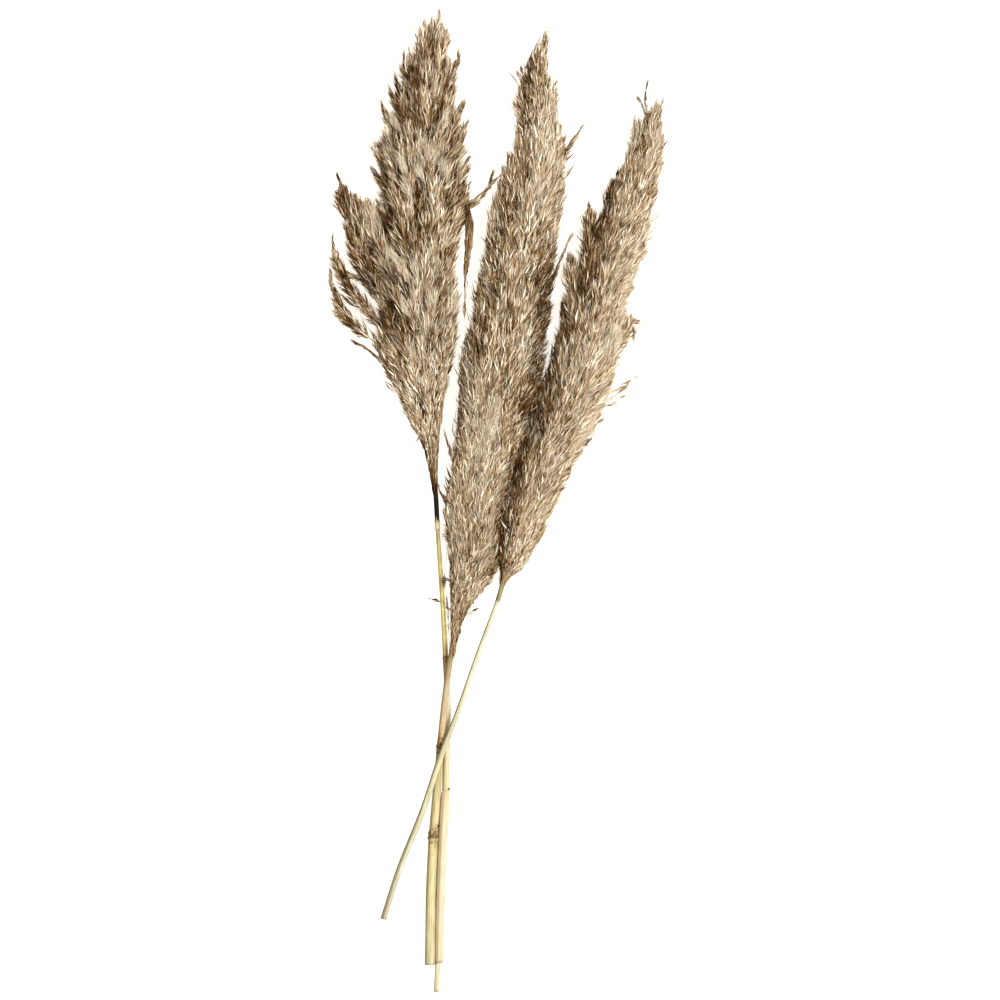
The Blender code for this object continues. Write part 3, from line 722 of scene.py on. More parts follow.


# Darker and paler parts of the plume, then its silkiest parts: x, y, reach across and along, change.
# Many darker spots are painted shade in the gaps between lobes; others, as on the neck and the fork,
# are the chaff's own darker brown.
LEFT_SPOTS = [
    (-77, 198, 5, 9, -0.8), (-87, 178, 4, 9, -0.7), (-57, 216, 2.5, 13, -0.8), (-79, 163, 4, 5, -0.7),
    (-73, 157, 4, 5, -0.7), (-67, 151, 4, 5, -0.6), (-84, 236, 5, 7, -0.5), (-78, 228, 4, 5, -0.5),
    (-58, 296, 3, 13, -0.8), (-62, 304, 3, 6, -0.5), (-50, 297, 2, 8, -0.5), (-44, 276, 4, 9, -0.8),
    (-50, 261, 4, 7, -0.8), (-83, 275, 2.5, 8, -0.5), (-74, 256, 5, 7, -0.6), (-50, 193, 3, 5, -0.5),
    (-65, 186, 3, 8, -0.5), (-60, 176, 2, 6, -0.4), (-66, 118, 5, 16, -0.45), (-77, 132, 8, 12, -0.4),
    (-72, 290, 7, 14, -0.25), (-100, 190, 4, 20, -0.12), (-108, 150, 12, 22, -0.2),
    (-92, 152, 8, 12, -0.3), (-38, 112, 4, 20, -0.25), (-30, 270, 12, 50, -0.06),
    (-45, 100, 12, 40, -0.11), (-38, 172, 4, 7, -0.35), (-66, 275, 5, 8, -0.4),
    (-35, 300, 4, 12, -0.3), (-112, 228, 8, 12, -0.35), (-48, 330, 3, 9, -0.3), (-45, 2, 6, 13, -0.6),
    (-10, 224, 11, 8, -0.6), (-22, 207, 7, 5, -0.35), (-22, 196, 3, 14, -0.08),
    (-32, 230, 9, 60, -0.06), (-22.5, 162, 2, 10, -0.2), (-39, 4, 4, 9, -0.3),
    (-48, 36, 10, 24, -0.22),
]
LEFT_SILK = [
    (-60, 236, 7, 9, 9), (-55, 240, 6, 6, 6), (-88, 190, 6, 12, 9), (-72, 162, 7, 9, 8),
    (-68, 140, 6, 9, 8), (-50, 130, 10, 24, 6), (-32, 140, 7, 14, 6), (-66, 108, 6, 9, 5),
    (-75, 252, 7, 9, 6), (-45, 96, 6, 12, 4),
]
dress("left", 21, LEFT_PLUME, LEFT_LOBES, LEFT_SPRAYS + LEFT_FORKS, LEFT_COMBED,
      LEFT_SPOTS, LEFT_SILK, LEFT_TUFTS, LEFT_STRAYS, branches=210, reach=(40, 60), inner=0.08,
      spread=(4.0, 6.5), bare=0.2, tone=(0.62, 0.1), sides=(-0.12, 0.0, -0.04), twigs=15900,
      twig=(10.0, 18.0), bunch=0.9, girth=(0.7, 1.25), splay=(0.03, 0.42), speck=0.3, curl=0.07,
      core=0.45, loose=0.36)


# The middle plume. The longest of the three, a dense soft foxtail: many short branches close to
# the axis, so that the spikelets lie nearly along it and only their tips stand off its outline.
# Its lists, and the right plume's, have the columns of the left plume's.
MIDDLE_PLUME = [
    (-98.4, -32.5, -34.5, -30.5, 9.6), (-90, -31.0, -33.5, -28.0, 10.2),
    (-80, -29.0, -33.0, -24.0, 10.8), (-70, -26.5, -33.3, -18.5, 11.2),
    (-60, -24.0, -33.5, -10.0, 11.8), (-48, -21.0, -33.5, -1.0, 12.4), (-30, -18.5, -35.0, 2.5, 13.0),
    (-10, -17.5, -37.5, 4.5, 13.6), (10, -14.0, -36.5, 8.5, 14.0), (30, -10.5, -32.5, 14.5, 14.3),
    (50, -6.0, -30.0, 22.0, 14.5), (75, -1.0, -27.5, 31.0, 14.5), (100, 4.0, -27.5, 34.5, 14.5),
    (125, 8.0, -22.0, 36.5, 14.5), (150, 11.5, -17.0, 39.0, 14.5), (175, 16.0, -11.0, 42.0, 14.5),
    (200, 20.5, -8.0, 45.0, 14.2), (225, 25.0, -2.5, 48.5, 13.8), (245, 27.5, 5.0, 48.0, 13.0),
    (265, 28.5, 12.0, 45.5, 12.0), (285, 28.5, 15.0, 41.5, 11.0), (305, 28.0, 17.0, 38.0, 9.8),
    (320, 29.5, 25.0, 35.0, 8.6), (336, 32.0, 30.0, 34.5, 7.0),
]
MIDDLE_LOBES = [
    (34, 341, 7, 40), (37.5, 335, 8, 36), (22.5, 334, 9, 45), (18, 327, 9, 42), (13, 317, 9, 44),
    (30, 338, 9, 38), (7, 313, 9, 46), (12, 295, 11, 44), (43, 307, 10, 40), (43, 284, 11, 44),
    (46, 275, 12, 42), (49, 266, 12, 42), (6, 252, 13, 44), (2, 243, 12, 44), (-3, 221, 13, 44),
    (-8, 208, 13, 42), (-9, 193, 14, 42), (-30, 50, 14, 38), (-37, 14, 14, 36), (-38.5, 0, 14, 36),
]
MIDDLE_SPRAYS = [
    [(27, 290, 10, 2.5), (30, 312, 9, 2.2), (32.5, 325, 8, 2.0), (33.5, 333, 7, 1.0)],
    [(34, 220, 17, 3.5), (41, 236, 17, 2.6), (47, 247, 16, 1.8), (53, 257, 15, 1.2),
     (59, 267, 13, 0.5)],
    [(34, 146, 16, 1.2), (40, 162, 14, 1), (46, 177, 12, 0.6), (51, 188, 10, 0.3)],
]
# The neck, then the threads that stand off the plume's left edge.
MIDDLE_COMBED = [
    [(-34.4, -122, 8.0, 1.9), (-32.9, -107, 9.6, 2.0), (-31.4, -96, 10.8, 2.2), (-29.6, -86, 12, 3.2),
     (-27.2, -70, 14, 4.6), (-23, -44, 18, 6)],
    [(-34.4, -118, 8.4, 1.7), (-32.8, -102, 9.6, 1.4), (-31.8, -88, 11.5, 1.5), (-31.6, -62, 14, 2.2),
     (-31, -32, 17, 3)],
    [(-34.2, -116, 8.6, 1.7), (-31.0, -98, 10.3, 1.5), (-26, -82, 12, 2.2), (-17, -65, 14, 2.8),
     (-6, -50, 15, 3.4)],
    [(-32.5, 16, 14, 0.12), (-33.2, 28, 14, 0.12), (-35, 37, 14, 0.1), (-37.8, 46, 14, 0.06)],
    [(-36, -28, 13, 0.06), (-37.4, -42, 12.5, 0.06), (-38.4, -52, 12, 0.06), (-38.2, -60, 11.5, 0.06),
     (-36.6, -68, 11, 0.06), (-36.2, -80, 10, 0.06), (-36, -90, 9.6, 0.06)],
]
MIDDLE_STRAYS = [
    (-38, -54.2, 12, -34.2, -57, 12, 1.3, 0.1), (-47.6, -69.8, 9, -41.6, -71.8, 9, 1.3, 0.08),
    (-46.5, -70.2, 9, -52.5, -68.2, 9, 0.5, 0.15), (-37.8, -75, 9, -34.5, -77, 9, 0.8, 0.12),
    (-19, -77.8, 9, -13.6, -75.4, 9, 1.3, 0.2), (-22.5, -80.4, 9, -16, -78.2, 9, 0.8, 0.5),
    (-28, -94.5, 9, -27, -91.5, 9, 0.8, 0.2), (14, 299, 10, 6, 309, 10, 0.5, 0.1),
    (-29.6, 46, 15, -32, 58, 15, 0.9, 0.15), (-34, 4, 14, -39, 12, 15, 1.0, 0.15),
    (-34, 10, 14, -38, 18, 15, 1.0, 0.15), (-34, -8, 14, -40, 1, 15, 1.1, 0.12),
    (-33, 16, 14, -37, 25, 15, 0.9, 0.15), (-34, -2, 15, -40, 6, 15, 1.0, 0.12),
    (42, 278, 11, 46, 293, 11, 0.5, 0.4), (-14, -9, 23, -4, -17.5, 23, 0.8, 0.95),
    (-14, -11, 23.5, -5, -20, 23, 0.7, 0.95), (2, -13, 22, 8, -21, 22, 0.7, 0.9),
    (47, 240, 11, 57.5, 252, 11, 0.5, 0.15), (46, 230, 11, 54.5, 242, 11, 0.5, 0.2),
    (44, 208, 12, 51, 221, 12, 0.5, 0.2),
]
# The middle plume's spots: the strongest, down its right edge beside the right plume, are painted shade
# in the valley between the two; the rest darken or lighten patches, partly painted shade and partly the
# chaff's own tone.
MIDDLE_SPOTS = [
    (36, 135, 9, 40, -1.05), (30, 92, 8, 20, -1.0), (20, 62, 6, 16, -0.9), (10, 26, 5, 18, -0.7),
    (3, -10, 5, 18, -0.7), (-3, -38, 6, 14, -0.5), (21, 305, 4, 22, -0.35), (20, 268, 4, 16, -0.3),
    (22, 235, 6, 12, -0.3), (5, 200, 5, 24, -0.35), (-2, 165, 6, 24, -0.3), (-14, 130, 5, 26, -0.3),
    (-23, 90, 5, 24, -0.3), (-28, 60, 3, 14, -0.2), (-18, 112, 8, 10, -0.2), (35, 230, 9, 40, 0.08),
    (-8, 40, 12, 40, 0.03), (-20, -45, 14, 40, -0.14), (29, 325, 8, 14, -0.14),
    (-26, -82, 3, 14, -0.35), (-34, -102, 6, 14, -0.25), (-36.5, 36, 2, 12, -0.4),
    (-37.5, -56, 2, 36, -0.35),
]
MIDDLE_SILK = [
    (-10, 30, 14, 40, 3), (33, 240, 9, 40, 3), (15, 120, 10, 40, 2), (-15, -30, 12, 30, 3),
]
dress("middle", 22, MIDDLE_PLUME, MIDDLE_LOBES, MIDDLE_SPRAYS, MIDDLE_COMBED,
      MIDDLE_SPOTS, MIDDLE_SILK, [], MIDDLE_STRAYS, branches=430, reach=(42, 58), inner=0.35,
      spread=(3.0, 4.6), bare=0.1, tone=(0.585, 0.06), sides=(-0.02, 0.02, 0.02), twigs=15700,
      twig=(10.0, 16.0), bunch=1.6, girth=(0.7, 1.25), splay=(0.04, 0.58), speck=0.29, curl=0.1,
      core=0.55, loose=0.28)


# The right plume. Slimmer and paler than the others and as dense as the middle one, it leans out
# to the right; its lit side is nearly cream, and a darker lobe stands off on its left.
RIGHT_PLUME = [
    (-55.0, 4.0, 2.0, 7.0, 14.0), (-48, 7.0, 2.0, 15.0, 13.8), (-40, 9.5, 1.5, 21.5, 13.6),
    (-28, 13.0, 1.0, 27.0, 13.4), (-10, 18.5, 0.0, 36.0, 13.2), (10, 25.5, 3.0, 47.0, 12.8),
    (30, 33.0, 8.0, 55.0, 12.6), (50, 41.5, 15.0, 66.0, 12.4), (70, 50.0, 25.0, 76.5, 12.2),
    (90, 57.5, 33.6, 84.0, 12.2), (110, 64.0, 37.8, 90.0, 12.0), (130, 68.0, 43.0, 92.0, 12.0),
    (150, 72.0, 46.8, 94.0, 12.0), (170, 77.5, 56.0, 102.0, 12.0), (190, 84.5, 64.0, 108.5, 11.8),
    (210, 92.5, 76.0, 112.0, 11.2), (230, 99.5, 83.0, 115.5, 10.4), (250, 106.0, 92.0, 119.0, 9.4),
    (268, 109.0, 97.5, 119.0, 8.6), (280, 112.0, 106.0, 118.0, 8.0), (291, 114.0, 112.0, 117.0, 7.0),
]
RIGHT_LOBES = [
    (118.5, 295, 8, 40), (114, 293, 9, 38), (110, 286, 9, 40), (101.5, 279, 9, 42), (98, 279, 10, 44),
    (89, 243, 10, 40), (83, 231, 11, 40), (120, 262, 10, 40), (121, 248, 10, 42), (117, 228, 11, 42),
    (113, 205, 12, 40), (110, 184, 12, 42), (101, 160, 12, 40), (96, 130, 12, 42), (82, 66, 12, 40),
    (70, 50, 12, 40),
]
RIGHT_SPRAYS = [
    [(66, 150, 17, 6), (65, 172, 18, 7), (66, 188, 17, 4.5), (65.5, 199, 16, 1.6),
     (64.8, 208, 15, 0.5)],
    [(66, 140, 19, 5), (70, 165, 20, 6), (73, 185, 18, 4), (74.5, 196, 16, 1.4), (75.5, 206, 15, 0.5)],
    [(58, 130, 15, 4), (53, 150, 15, 4), (52, 164, 14, 2), (51.2, 172, 13, 0.6)],
    [(70, 75, 15, 0.6), (80, 78.5, 14, 0.4), (90, 83, 13, 0.25), (98, 89, 12, 0.1)],
    [(72, 71, 14, 0.6), (82, 75, 13, 0.35), (91, 82, 12, 0.1)],
    [(70, 68, 14, 0.6), (80, 70, 13, 0.35), (88, 75, 12, 0.1)],
    [(76, 205, 13, 3), (79, 216, 13, 2.5), (81, 225, 12, 1.2)],
    [(108.5, 258, 9, 1.4), (106.8, 274, 9, 1.2), (105.2, 287, 9, 1.0), (106.2, 298, 9, 0.5)],
    [(107.4, 270, 9, 0.5), (104, 281, 9, 0.4), (100.5, 288, 9, 0.1)],
    [(72, 90, 14, 4.5), (80, 102, 14, 4.5), (86, 113, 13, 3.6), (90, 121, 13, 2.2),
     (92.5, 128, 13, 0.7)],
    [(88, 118, 13, 1.0), (93, 126, 13, 0.7), (96, 127, 13, 0.4), (96.5, 119, 12, 0.2)],
]
# The neck.
RIGHT_COMBED = [
    [(1.0, -70, 13.8, 1.7), (3.6, -57, 14.4, 1.9), (7, -46, 17, 2.2), (12, -30, 20, 4),
     (20, -8, 23, 6)],
    [(1.0, -69, 13.8, 1.6), (2.8, -52, 14, 1.3), (3.4, -36, 15, 1.5), (5, -18, 17, 2.2),
     (8, 0, 18, 3)],
    [(1.2, -68, 13.8, 1.6), (6.4, -54, 14, 1.3), (13, -45, 15, 1.6), (22, -34, 16, 2.2),
     (32, -18, 17, 3)],
]
RIGHT_STRAYS = [
    (110, 200, 10, 118.5, 213, 10, 0.5, 0.35), (107, 190, 10, 116, 202, 10, 0.5, 0.4),
    (117, 254, 8, 122, 267, 8, 0.5, 0.4), (88, 84, 12, 96, 88, 12, 0.8, 0.4),
    (70, 58, 12, 78, 66, 12, 0.8, 0.6), (40, 8, 12, 50, 16, 12, 0.8, 0.6),
    (26, -30, 12, 32, -22, 12, 0.8, 0.4),
]
# The right plume's spots: those down its left edge, beside the middle plume, are painted shade in the
# valley between the two; the paler ones lighten its right side, partly painted light and partly its
# paler silky chaff; the rest darken other sprays and patches.
RIGHT_SPOTS = [
    (73, 196, 5, 16, -0.45), (66, 168, 5, 12, -0.4), (60, 150, 5, 12, -0.3),
    (78.5, 210, 3.5, 14, -0.5), (81.5, 228, 2.5, 8, -0.6), (104.5, 288, 4, 12, -0.4),
    (108, 250, 10, 36, -0.06), (45, 128, 5, 22, -0.25), (37, 88, 6, 18, -0.5), (24, 56, 8, 18, -0.7),
    (12, 22, 8, 20, -0.75), (5, -14, 6, 18, -0.7), (2, -44, 4, 12, -0.3), (102, 190, 12, 60, 0.08),
    (78, 80, 12, 60, 0.08), (103, 240, 5, 20, -0.1), (70, 134, 3, 8, -0.25),
]
RIGHT_SILK = [
    (85, 130, 14, 60, 4), (60, 50, 12, 40, 4), (30, 0, 14, 30, 3), (105, 220, 10, 40, 3),
]
dress("right", 23, RIGHT_PLUME, RIGHT_LOBES, RIGHT_SPRAYS, RIGHT_COMBED,
      RIGHT_SPOTS, RIGHT_SILK, [], RIGHT_STRAYS, branches=360, reach=(38, 54), inner=0.2,
      spread=(3.2, 4.8), bare=0.1, tone=(0.55, 0.05), sides=(-0.16, 0.0, 0.05), twigs=15300,
      twig=(10.0, 16.0), bunch=1.6, girth=(0.7, 1.2), splay=(0.04, 0.55), speck=0.27, curl=0.1,
      core=0.55, loose=0.28)


# The left stalk. A slim cane with a dark neck under the plume and a pale joint below it, straw
# above and tan below, and round its foot an old leaf sheath, rolled once round and torn at its
# lower edge, out of which the cut cane sticks. Rows of height, then x and lift, or the radius.
LEFT_PATH = [
    (-351.4, -44.5, 3.2), (-332.5, -43.4, 3.2), (-318, -42.4, 3.2), (-285, -40.8, 3.2),
    (-250, -39.6, 3.2), (-216, -38.35, 3.3), (-207, -38.0, 3.3), (-195, -37.7, 2.8),
    (-170, -36.6, 2.5), (-134, -36.8, 2.5), (-106, -38.2, 2.9), (-70, -40.2, 4.6), (-41, -42.1, 7.0),
    (-18, -43.6, 9.8), (-2, -44.4, 12.0), (18, -45.6, 14.0),
]
LEFT_RADII = [
    (-351.4, 1.9), (-209, 2.2), (-206, 2.4), (-190, 2.45), (-175, 2.4), (-113, 2.2), (-111.6, 2.3),
    (-111, 1.95), (-41, 1.6), (-20, 1.5), (-18.5, 1.9), (-14, 1.95), (-12, 1.7), (0, 1.8), (8, 1.65),
    (18, 1.2),
]


def stalk(name, path, radii, sides=32, step=2.0):
    """A ribbed cane along a path with a hollow cut foot; its UVs run round it and along it."""
    stops = [row[0] for row in radii]
    y = np.unique(np.round(np.concatenate([np.arange(path[0][0], path[-1][0], step), stops]), 3))
    centre = follow(path, y)
    centre = np.stack([centre[:, 0], y, centre[:, 1]], 1)
    ahead = unit(np.gradient(centre, y, axis=0))
    radius = np.interp(y, stops, [row[1] for row in radii])
    v = 0.03 + 0.95 * (y - y[0]) / (y[-1] - y[0])
    centre = np.concatenate([[centre[0] + ahead[0] * 5, centre[0] + ahead[0] * 0.25], centre])
    radius = np.concatenate([[radius[0] * 0.5, radius[0] * 0.62], radius])
    ahead = np.concatenate([ahead[:1], ahead[:1], ahead])
    v = np.concatenate([[0.006, 0.018], v])
    across = unit(np.cross(ahead, [[0.0, 0.0, 1.0]]))
    up = np.cross(across, ahead)
    turn = np.linspace(0, 2 * math.pi, sides, endpoint=False)
    ribs = 1 + 0.018 * np.sin(turn * 11) + 0.012 * np.sin(turn * 5 + 1)
    ring = across[:, None] * np.sin(turn)[None, :, None] - up[:, None] * np.cos(turn)[None, :, None]
    verts = centre[:, None] + ring * (radius[:, None] * ribs[None])[..., None]
    verts[..., 2] = np.maximum(verts[..., 2], 0.05)
    faces, uvs = [], []
    for i in range(len(v) - 1):
        low, high = i * sides, (i + 1) * sides
        for j in range(sides):
            k = (j + 1) % sides
            faces.append((low + j, low + k, high + k, high + j))
            left, right = j / sides, (j + 1) / sides
            uvs += [(left, v[i]), (right, v[i]), (right, v[i + 1]), (left, v[i + 1])]
    last = (len(v) - 1) * sides
    faces += [tuple(reversed(range(sides))), tuple(range(last, last + sides))]
    uvs += [(0.5 + 0.4 * math.cos(t), 0.003 - 0.003 * math.sin(t)) for t in turn]
    uvs += [(0.5 + 0.4 * math.cos(t), 0.99 + 0.009 * math.sin(t)) for t in turn]
    return solid(name, verts.reshape(-1, 3), faces, uvs, smooth=True)


# The cut foot's colours: the floor of its hollow painted dark as shade, and the pale cut wall.
CUT_DARK, CUT_PALE = srgb(40, 26, 14), srgb(150, 128, 92)
STAIN, CREASE, GROOVE = srgb(96, 66, 34), srgb(50, 30, 14), srgb(112, 94, 70)
# The creases of a joint: how far below it, how steeply they rise to the sides, how dark they are.
CREASES = [(0.0, 34.0, 1.0), (2.2, 12.0, 0.8), (4.4, -16.0, 0.3)]


def cane_finish(name, path, zones, joints, edge, left_shade_depth, groove=None):
    """Cane coloured in zones by height, with lengthwise fibres, cloudy weathering, a left side darkened
    as painted shade, a hollow cut foot that darkens inward as painted shade, an optional groove near
    the foot, and at each joint creases in a brown blotchy smear."""
    foot, top = path[0][0], path[-1][0]
    reach = (top - foot) / 0.95
    material, shader, wire = new_material(name, 0.55, Specular_IOR_Level=0.1)
    strand = strand_of(wire)
    round_it, along = strand.part(0), strand.part(1)
    # Painted shade: the hollow at the cut foot darkens to its floor.
    stops = [(0.0, CUT_DARK), (0.02, CUT_PALE)]
    stops += [(0.03 + (y - foot) / reach, srgb(*shade)) for y, shade in zones]
    color = along.ramp(*stops)
    fibre = strand.scaled(40.0, reach / 26.0, 1.0).noise(1.0, 4.0)
    fibres = fibre.ramp((0.36, (0.6, 0.58, 0.5)), (0.58, (1.08, 1.08, 1.05)))
    color = color.mix(0.85, fibres, "MULTIPLY")
    cloud = strand.scaled(3.0, reach / 20.0, 1.0).noise(1.0, 3.0)
    clouds = cloud.ramp((0.36, (0.8, 0.78, 0.68)), (0.58, (1.0, 1.0, 1.0)))
    color = color.mix(0.8, clouds, "MULTIPLY")
    # Painted shade: the cane's left side, away from the light, is darkened by the edge colour along a
    # wandering border.
    wander = (strand.scaled(0.0, reach / 45.0, 1.0).noise(1.0, 2.0) - 0.5) * 0.14
    side = (round_it + wander).level((0.52, 0), (0.57, 0.3), (0.61, 1), (0.84, 1), (0.9, 0))
    color = color.mix(side * left_shade_depth, edge, "MULTIPLY")
    if groove:
        place, half_width, depth = groove
        off = abs(round_it + wander * 0.25 - place)
        line = (off * (1.0 / half_width)).level((0.3, 1), (1.0, 0))
        low = along.level((0.2, 1), (0.34, 0))
        color = color.mix(line * low * depth, GROOVE)
    height = along * reach + (foot - 0.03 * reach)
    blotch = strand.scaled(11.0, reach / 2.6, 1.0).noise(1.0, 4.0)
    fold = abs(round_it - 0.56)
    for y, depth, smear in joints:
        off = height - y
        stain = (blotch * 3.4 - abs(off) * (1.0 / smear) - 1.15).level((0.0, 0), (0.5, 1))
        color = color.mix(stain * (0.68 * depth), STAIN)
        for drop, rise, dark in CREASES:
            gap = off + (blotch - 0.5) * 9.0 + drop - fold * rise
            line = (abs(gap) * 0.5).level((0.15, 1), (0.5, 0))
            color = color.mix(line * (depth * dark), CREASE)
    feed(shader, "Base Color", color)
    ridges = {"Strength": 0.35, "Distance": 0.0002, "Height": fibre}
    feed(shader, "Normal", wire.node("ShaderNodeBump", (), ridges))
    feed(shader, "Roughness", 0.45 + fibre * 0.3)
    return material


# The canes' colours by height, then their joints: height, how dark and how far the stain smears.
LEFT_ZONES = [
    (-351, (200, 194, 166)), (-331, (212, 206, 178)), (-213, (204, 193, 158)), (-190, (202, 191, 156)),
    (-150, (204, 195, 174)), (-132, (198, 180, 148)), (-122, (186, 156, 116)), (-112.2, (160, 128, 88)),
    (-111, (110, 80, 48)), (-110, (178, 156, 108)), (-99, (196, 182, 128)), (-84, (218, 206, 146)),
    (-70, (218, 206, 142)), (-56, (208, 194, 136)), (-38, (192, 176, 126)), (-19.8, (172, 156, 114)),
    (-18.8, (214, 202, 172)), (-15, (206, 192, 164)), (-13.6, (168, 148, 118)), (-12.4, (26, 18, 12)),
    (4, (22, 15, 9)), (12, (40, 27, 15)), (18, (80, 58, 34)),
]
LEFT_JOINTS = [(-112.5, 0.5, 3.0)]
left_stalk = stalk("left_stalk", LEFT_PATH, LEFT_RADII)
left_stalk.data.materials.append(cane_finish(
    "left_cane", LEFT_PATH, LEFT_ZONES, LEFT_JOINTS, edge=(0.5, 0.44, 0.3), left_shade_depth=0.7))

# The old leaf sheath round the foot of the left stalk: rows of height, x and radius, from its torn
# lower edge to its rim. It is a papery shell rolled 1.1 times round, its free edge on the left.
SHEATH = [
    (-332, -42.7, 2.6), (-318, -42.5, 2.85), (-306, -42.2, 3.1), (-285, -41.6, 3.3),
    (-270, -41.1, 3.3), (-248, -40.15, 3.35), (-225, -39.0, 3.35), (-213, -38.35, 3.2),
    (-207.5, -37.9, 2.85),
]
SHEATH_TURNS, SHEATH_EDGE, SHEATH_LIFT = 1.1, 2.87, 3.3  # turns, where they start, axis's lift
PAPER = 0.24  # thickness
around, rings = 48, 64
turn = np.linspace(0, 2 * math.pi * SHEATH_TURNS, around)
y = np.linspace(-331.5, -207.5, rings)
centre = follow(SHEATH, y)
ragged = 1.5 * np.abs(np.sin(turn * 3.7)) + 1.2 * np.abs(np.sin(turn * 8.3 + 1))
ragged += 0.8 * np.sin(turn * 17)
share = (y - y[0]) / (y[-1] - y[0])
uneven = 0.9 * np.sin(turn * 2.3 + 0.4) + 0.5 * np.sin(turn * 7.1)
tall = y[:, None] + ragged[None] * (1 - share[:, None]) ** 8 + uneven[None] * share[:, None] ** 12
radius = centre[:, None, 1] * (0.94 + 0.08 * turn[None] / (2 * math.pi))
radius = radius + 0.04 * np.sin(share[:, None] * 37)
shell = []
for r in (radius + PAPER, radius):
    x = centre[:, None, 0] + r * np.sin(turn + SHEATH_EDGE)[None]
    z = np.maximum(SHEATH_LIFT - r * np.cos(turn + SHEATH_EDGE)[None], 0.05)
    shell.append(np.stack([x, tall, z], 2).reshape(-1, 3))
faces, uvs = [], []
inner = around * rings


def skin_u(start, j):
    """The way round, 0.46 of the UV square wide on the outer skin and as much on the inner one."""
    return start + 0.46 * j / (around - 1)


def skin_v(i):
    return 0.04 + 0.92 * i / (rings - 1)


def skin_quad(i, j, k, m, u, v):
    faces.append((i, j, k, m))
    uvs.extend([(u[0], v[0]), (u[1], v[0]), (u[1], v[1]), (u[0], v[1])])


for i in range(rings - 1):
    v = (skin_v(i), skin_v(i + 1))
    first, last = i * around, (i + 1) * around - 1
    for j in range(around - 1):
        a, b = first + j, first + j + 1
        skin_quad(a, b, b + around, a + around, (skin_u(0.02, j), skin_u(0.02, j + 1)), v)
        a, b = a + inner, b + inner
        skin_quad(b, a, a + around, b + around, (skin_u(0.52, j + 1), skin_u(0.52, j)), v)
    skin_quad(first + inner, first, first + around, first + around + inner, (0.0, 0.02), v)
    skin_quad(last, last + inner, last + around + inner, last + around, (0.48, 0.5), v)
for j in range(around - 1):
    u = (skin_u(0.02, j), skin_u(0.02, j + 1))
    skin_quad(inner + j, inner + j + 1, j + 1, j, u, (0.0, 0.04))
    top = inner - around + j
    skin_quad(top, top + 1, inner + top + 1, inner + top, u, (0.96, 1.0))
left_sheath = solid("left_sheath", np.concatenate(shell), faces, uvs, smooth=True)

material, shader, wire = new_material("old_leaf_sheath", 0.65, Specular_IOR_Level=0.2)
strand = strand_of(wire)
fibre = strand.scaled(80.0, 5.0, 1.0).noise(1.0, 4.0)
color = strand.part(1).ramp(
    (0.0, srgb(96, 64, 36)), (0.02, srgb(194, 180, 150)), (0.3, srgb(204, 194, 171)),
    (0.7, srgb(200, 189, 164)), (0.9, srgb(198, 186, 158)), (0.975, srgb(196, 180, 146)),
    (0.992, srgb(182, 162, 124)))
fibres = fibre.ramp((0.32, (0.8, 0.75, 0.66)), (0.6, (1.06, 1.05, 1.03)))
color = color.mix(0.8, fibres, "MULTIPLY")
cloud = strand.scaled(9.0, 7.0, 1.0).noise(1.0, 3.0)
clouds = cloud.ramp((0.36, (0.88, 0.83, 0.77)), (0.58, (1.0, 1.0, 1.0)))
color = color.mix(0.8, clouds, "MULTIPLY")
# The sheath's left part, beside the free edge, is browner, partly its own colour and partly painted
# shade on the side away from the light; a brown line down its left outline is partly the edge's own
# colour and partly a painted contact shadow against the middle stalk.
beside = strand.part(0).level(
    (0.045, 0.1), (0.075, 1), (0.15, 1), (0.19, 0.3), (0.34, 0), (0.455, 0), (0.475, 0.5))
color = color.mix(beside * 0.75, srgb(176, 152, 116))
edge = strand.part(0).level((0.098, 0), (0.108, 1), (0.15, 1), (0.17, 0))
color = color.mix(edge * 0.8, srgb(110, 84, 54))
feed(shader, "Base Color", color)
ridges = {"Strength": 0.4, "Distance": 0.0002, "Height": fibre}
feed(shader, "Normal", wire.node("ShaderNodeBump", (), ridges))
left_sheath.data.materials.append(material)

# Two dry bud scales stick up at the sheath's rim.
bud_rng = np.random.default_rng(31)
left_bud = blades("left_bud", [
    (-35.4, -207.2, 4.6, 0.12, 1.0, 0.15, 3.2, 1.5, 0.04),
    (-40.2, -207.6, 5.4, 0.1, 1.0, 0.0, 2.2, 0.8, 0.15),
], bud_rng)
left_bud.data.materials.append(spikelet_finish("left_bud_brown"))
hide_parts("culm_left")
for piece in (left_stalk, left_sheath, left_bud):
    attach(piece, "root")


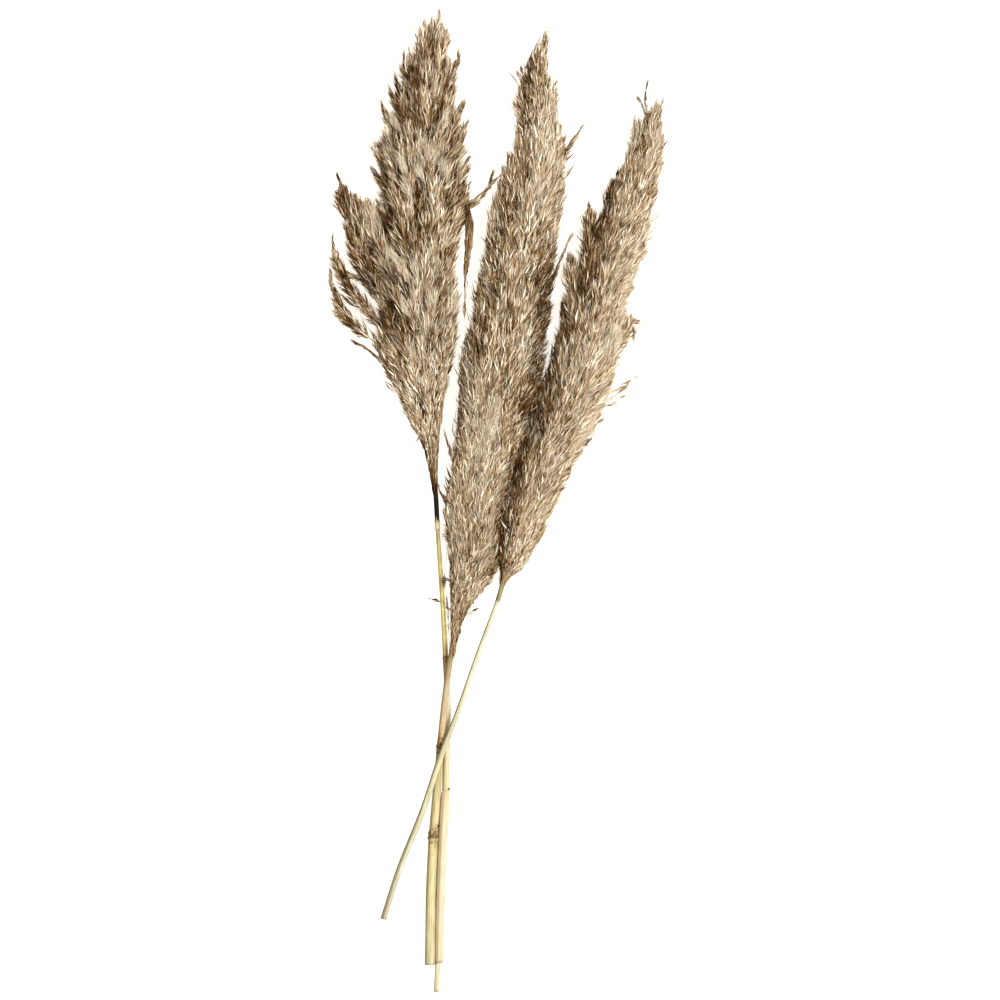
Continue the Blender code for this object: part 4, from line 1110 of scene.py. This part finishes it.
# The middle stalk. The thickest cane, with two dark scarred joints where leaves once sat; dry buds
# lie against its left side at both, and the piece below the lower joint is swollen and pale yellow.
MIDDLE_PATH = [
    (-331.8, -49.1, 3.7), (-285, -48.6, 3.7), (-263, -47.8, 3.7), (-235, -46.3, 3.9),
    (-200, -43.6, 4.7), (-166, -40.7, 6.5), (-134, -37.5, 7.4), (-114, -34.6, 8.4), (-96, -31.8, 9.8),
]
MIDDLE_RADII = [
    (-331.8, 3.75), (-300, 3.6), (-243, 3.55), (-241.5, 3.8), (-240, 3.6), (-237.5, 3.85),
    (-235, 3.3), (-200, 2.9), (-181, 2.7), (-178, 3.0), (-176.5, 2.75), (-174.6, 3.0), (-172.5, 2.65),
    (-134, 2.15), (-118, 2.15), (-108, 1.8), (-96, 1.1),
]
MIDDLE_ZONES = [
    (-331, (196, 187, 154)), (-310, (202, 194, 158)), (-280, (196, 187, 145)), (-262, (198, 190, 146)),
    (-245, (192, 178, 135)), (-236, (184, 165, 124)), (-228, (196, 182, 142)), (-213, (200, 189, 152)),
    (-196, (190, 173, 128)), (-184, (186, 164, 114)), (-176, (174, 148, 100)), (-168, (192, 164, 120)),
    (-156, (186, 167, 138)), (-134, (180, 165, 138)), (-122, (170, 152, 120)), (-112, (150, 130, 98)),
    (-96, (116, 96, 66)),
]
MIDDLE_JOINTS = [(-239.5, 0.95, 10.0), (-174.5, 1.15, 14.0)]
middle_stalk = stalk("middle_stalk", MIDDLE_PATH, MIDDLE_RADII)
middle_stalk.data.materials.append(cane_finish(
    "middle_cane", MIDDLE_PATH, MIDDLE_ZONES, MIDDLE_JOINTS, edge=(0.45, 0.39, 0.27), left_shade_depth=0.8))
middle_bud = blades("middle_bud", [
    (-43.2, -178.6, 6.0, -0.2, 1.0, 0.1, 3.6, 1.4, 0.03),
    (-43.9, -176.4, 6.4, -0.5, 1.0, 0.2, 2.6, 1.1, 0.05),
    (-50.2, -242.5, 4.5, -0.15, 1.0, 0.1, 3.6, 1.4, 0.03),
    (-50.0, -239.0, 4.6, -0.1, 1.0, 0.2, 3.2, 1.2, 0.05),
    (-43.6, -237.0, 5.4, 0.1, 1.0, 0.2, 3.4, 1.0, 0.1),
    (-43.0, -233.6, 5.6, 0.2, 1.0, 0.1, 3.6, 0.9, 0.15),
    (-42.5, -174.0, 7.5, 0.15, 1.0, 0.1, 7.5, 1.3, 0.2),
    (-43.2, -177.0, 8.0, 0.5, 1.0, 0.05, 6.5, 1.3, 0.04),
    (-42.6, -173.0, 8.2, 0.45, 1.0, 0.0, 6.0, 1.1, 0.06),
    (-48.6, -237.6, 6.6, 0.7, -1.0, 0.0, 3.2, 0.9, 0.08),
    (-45.2, -239.4, 7.0, 0.6, 1.0, 0.0, 3.0, 0.9, 0.1),
    (-44.2, -234.0, 6.4, 0.2, 1.0, -0.1, 4.0, 0.9, 0.12),
], bud_rng)
middle_bud.data.materials.append(spikelet_finish("middle_bud_brown"))
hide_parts("culm_middle")
for piece in (middle_stalk, middle_bud):
    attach(piece, "root")


# The right stalk. Thin, straight and pale, laid over the two others; grey-green under its plume,
# with a weathered groove up its lower half and one torn fibre near the crossing.
RIGHT_PATH = [
    (-299.2, -82.5, 2.6), (-264, -71.2, 4.3), (-221, -54.1, 7.6), (-185.3, -42.4, 11.0),
    (-149, -28.6, 12.6), (-106, -13.7, 13.6), (-70, -0.4, 14.0), (-53, 4.4, 14.0),
]
RIGHT_RADII = [
    (-299.2, 2.2), (-220, 2.25), (-149, 1.9), (-72, 1.5), (-70, 1.75), (-53, 1.9),
]
RIGHT_ZONES = [
    (-299, (184, 171, 150)), (-285, (196, 187, 168)), (-268, (200, 195, 176)), (-248, (196, 190, 166)),
    (-213, (196, 190, 162)), (-184, (198, 191, 164)), (-155, (200, 193, 170)), (-120, (202, 194, 176)),
    (-99, (196, 195, 172)), (-76, (200, 198, 172)), (-71.5, (188, 180, 154)), (-70, (128, 120, 86)),
    (-63, (146, 138, 104)), (-53, (140, 124, 86)),
]
RIGHT_GROOVE = (0.54, 0.05, 0.7)  # place round the cane, half-width and depth of colour
right_stalk = stalk("right_stalk", RIGHT_PATH, RIGHT_RADII)
right_stalk.data.materials.append(cane_finish(
    "right_cane", RIGHT_PATH, RIGHT_ZONES, [], edge=(0.32, 0.3, 0.2), left_shade_depth=0.95,
    groove=RIGHT_GROOVE))
right_fibre = blades("right_fibre", [(-35.6, -169.0, 13.4, 1.0, 0.75, 0.3, 5.0, 0.6, 0.5)], bud_rng)
right_fibre.data.materials.append(spikelet_finish("right_fibre_straw"))
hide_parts("culm_right")
for piece in (right_stalk, right_fibre):
    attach(piece, "root")
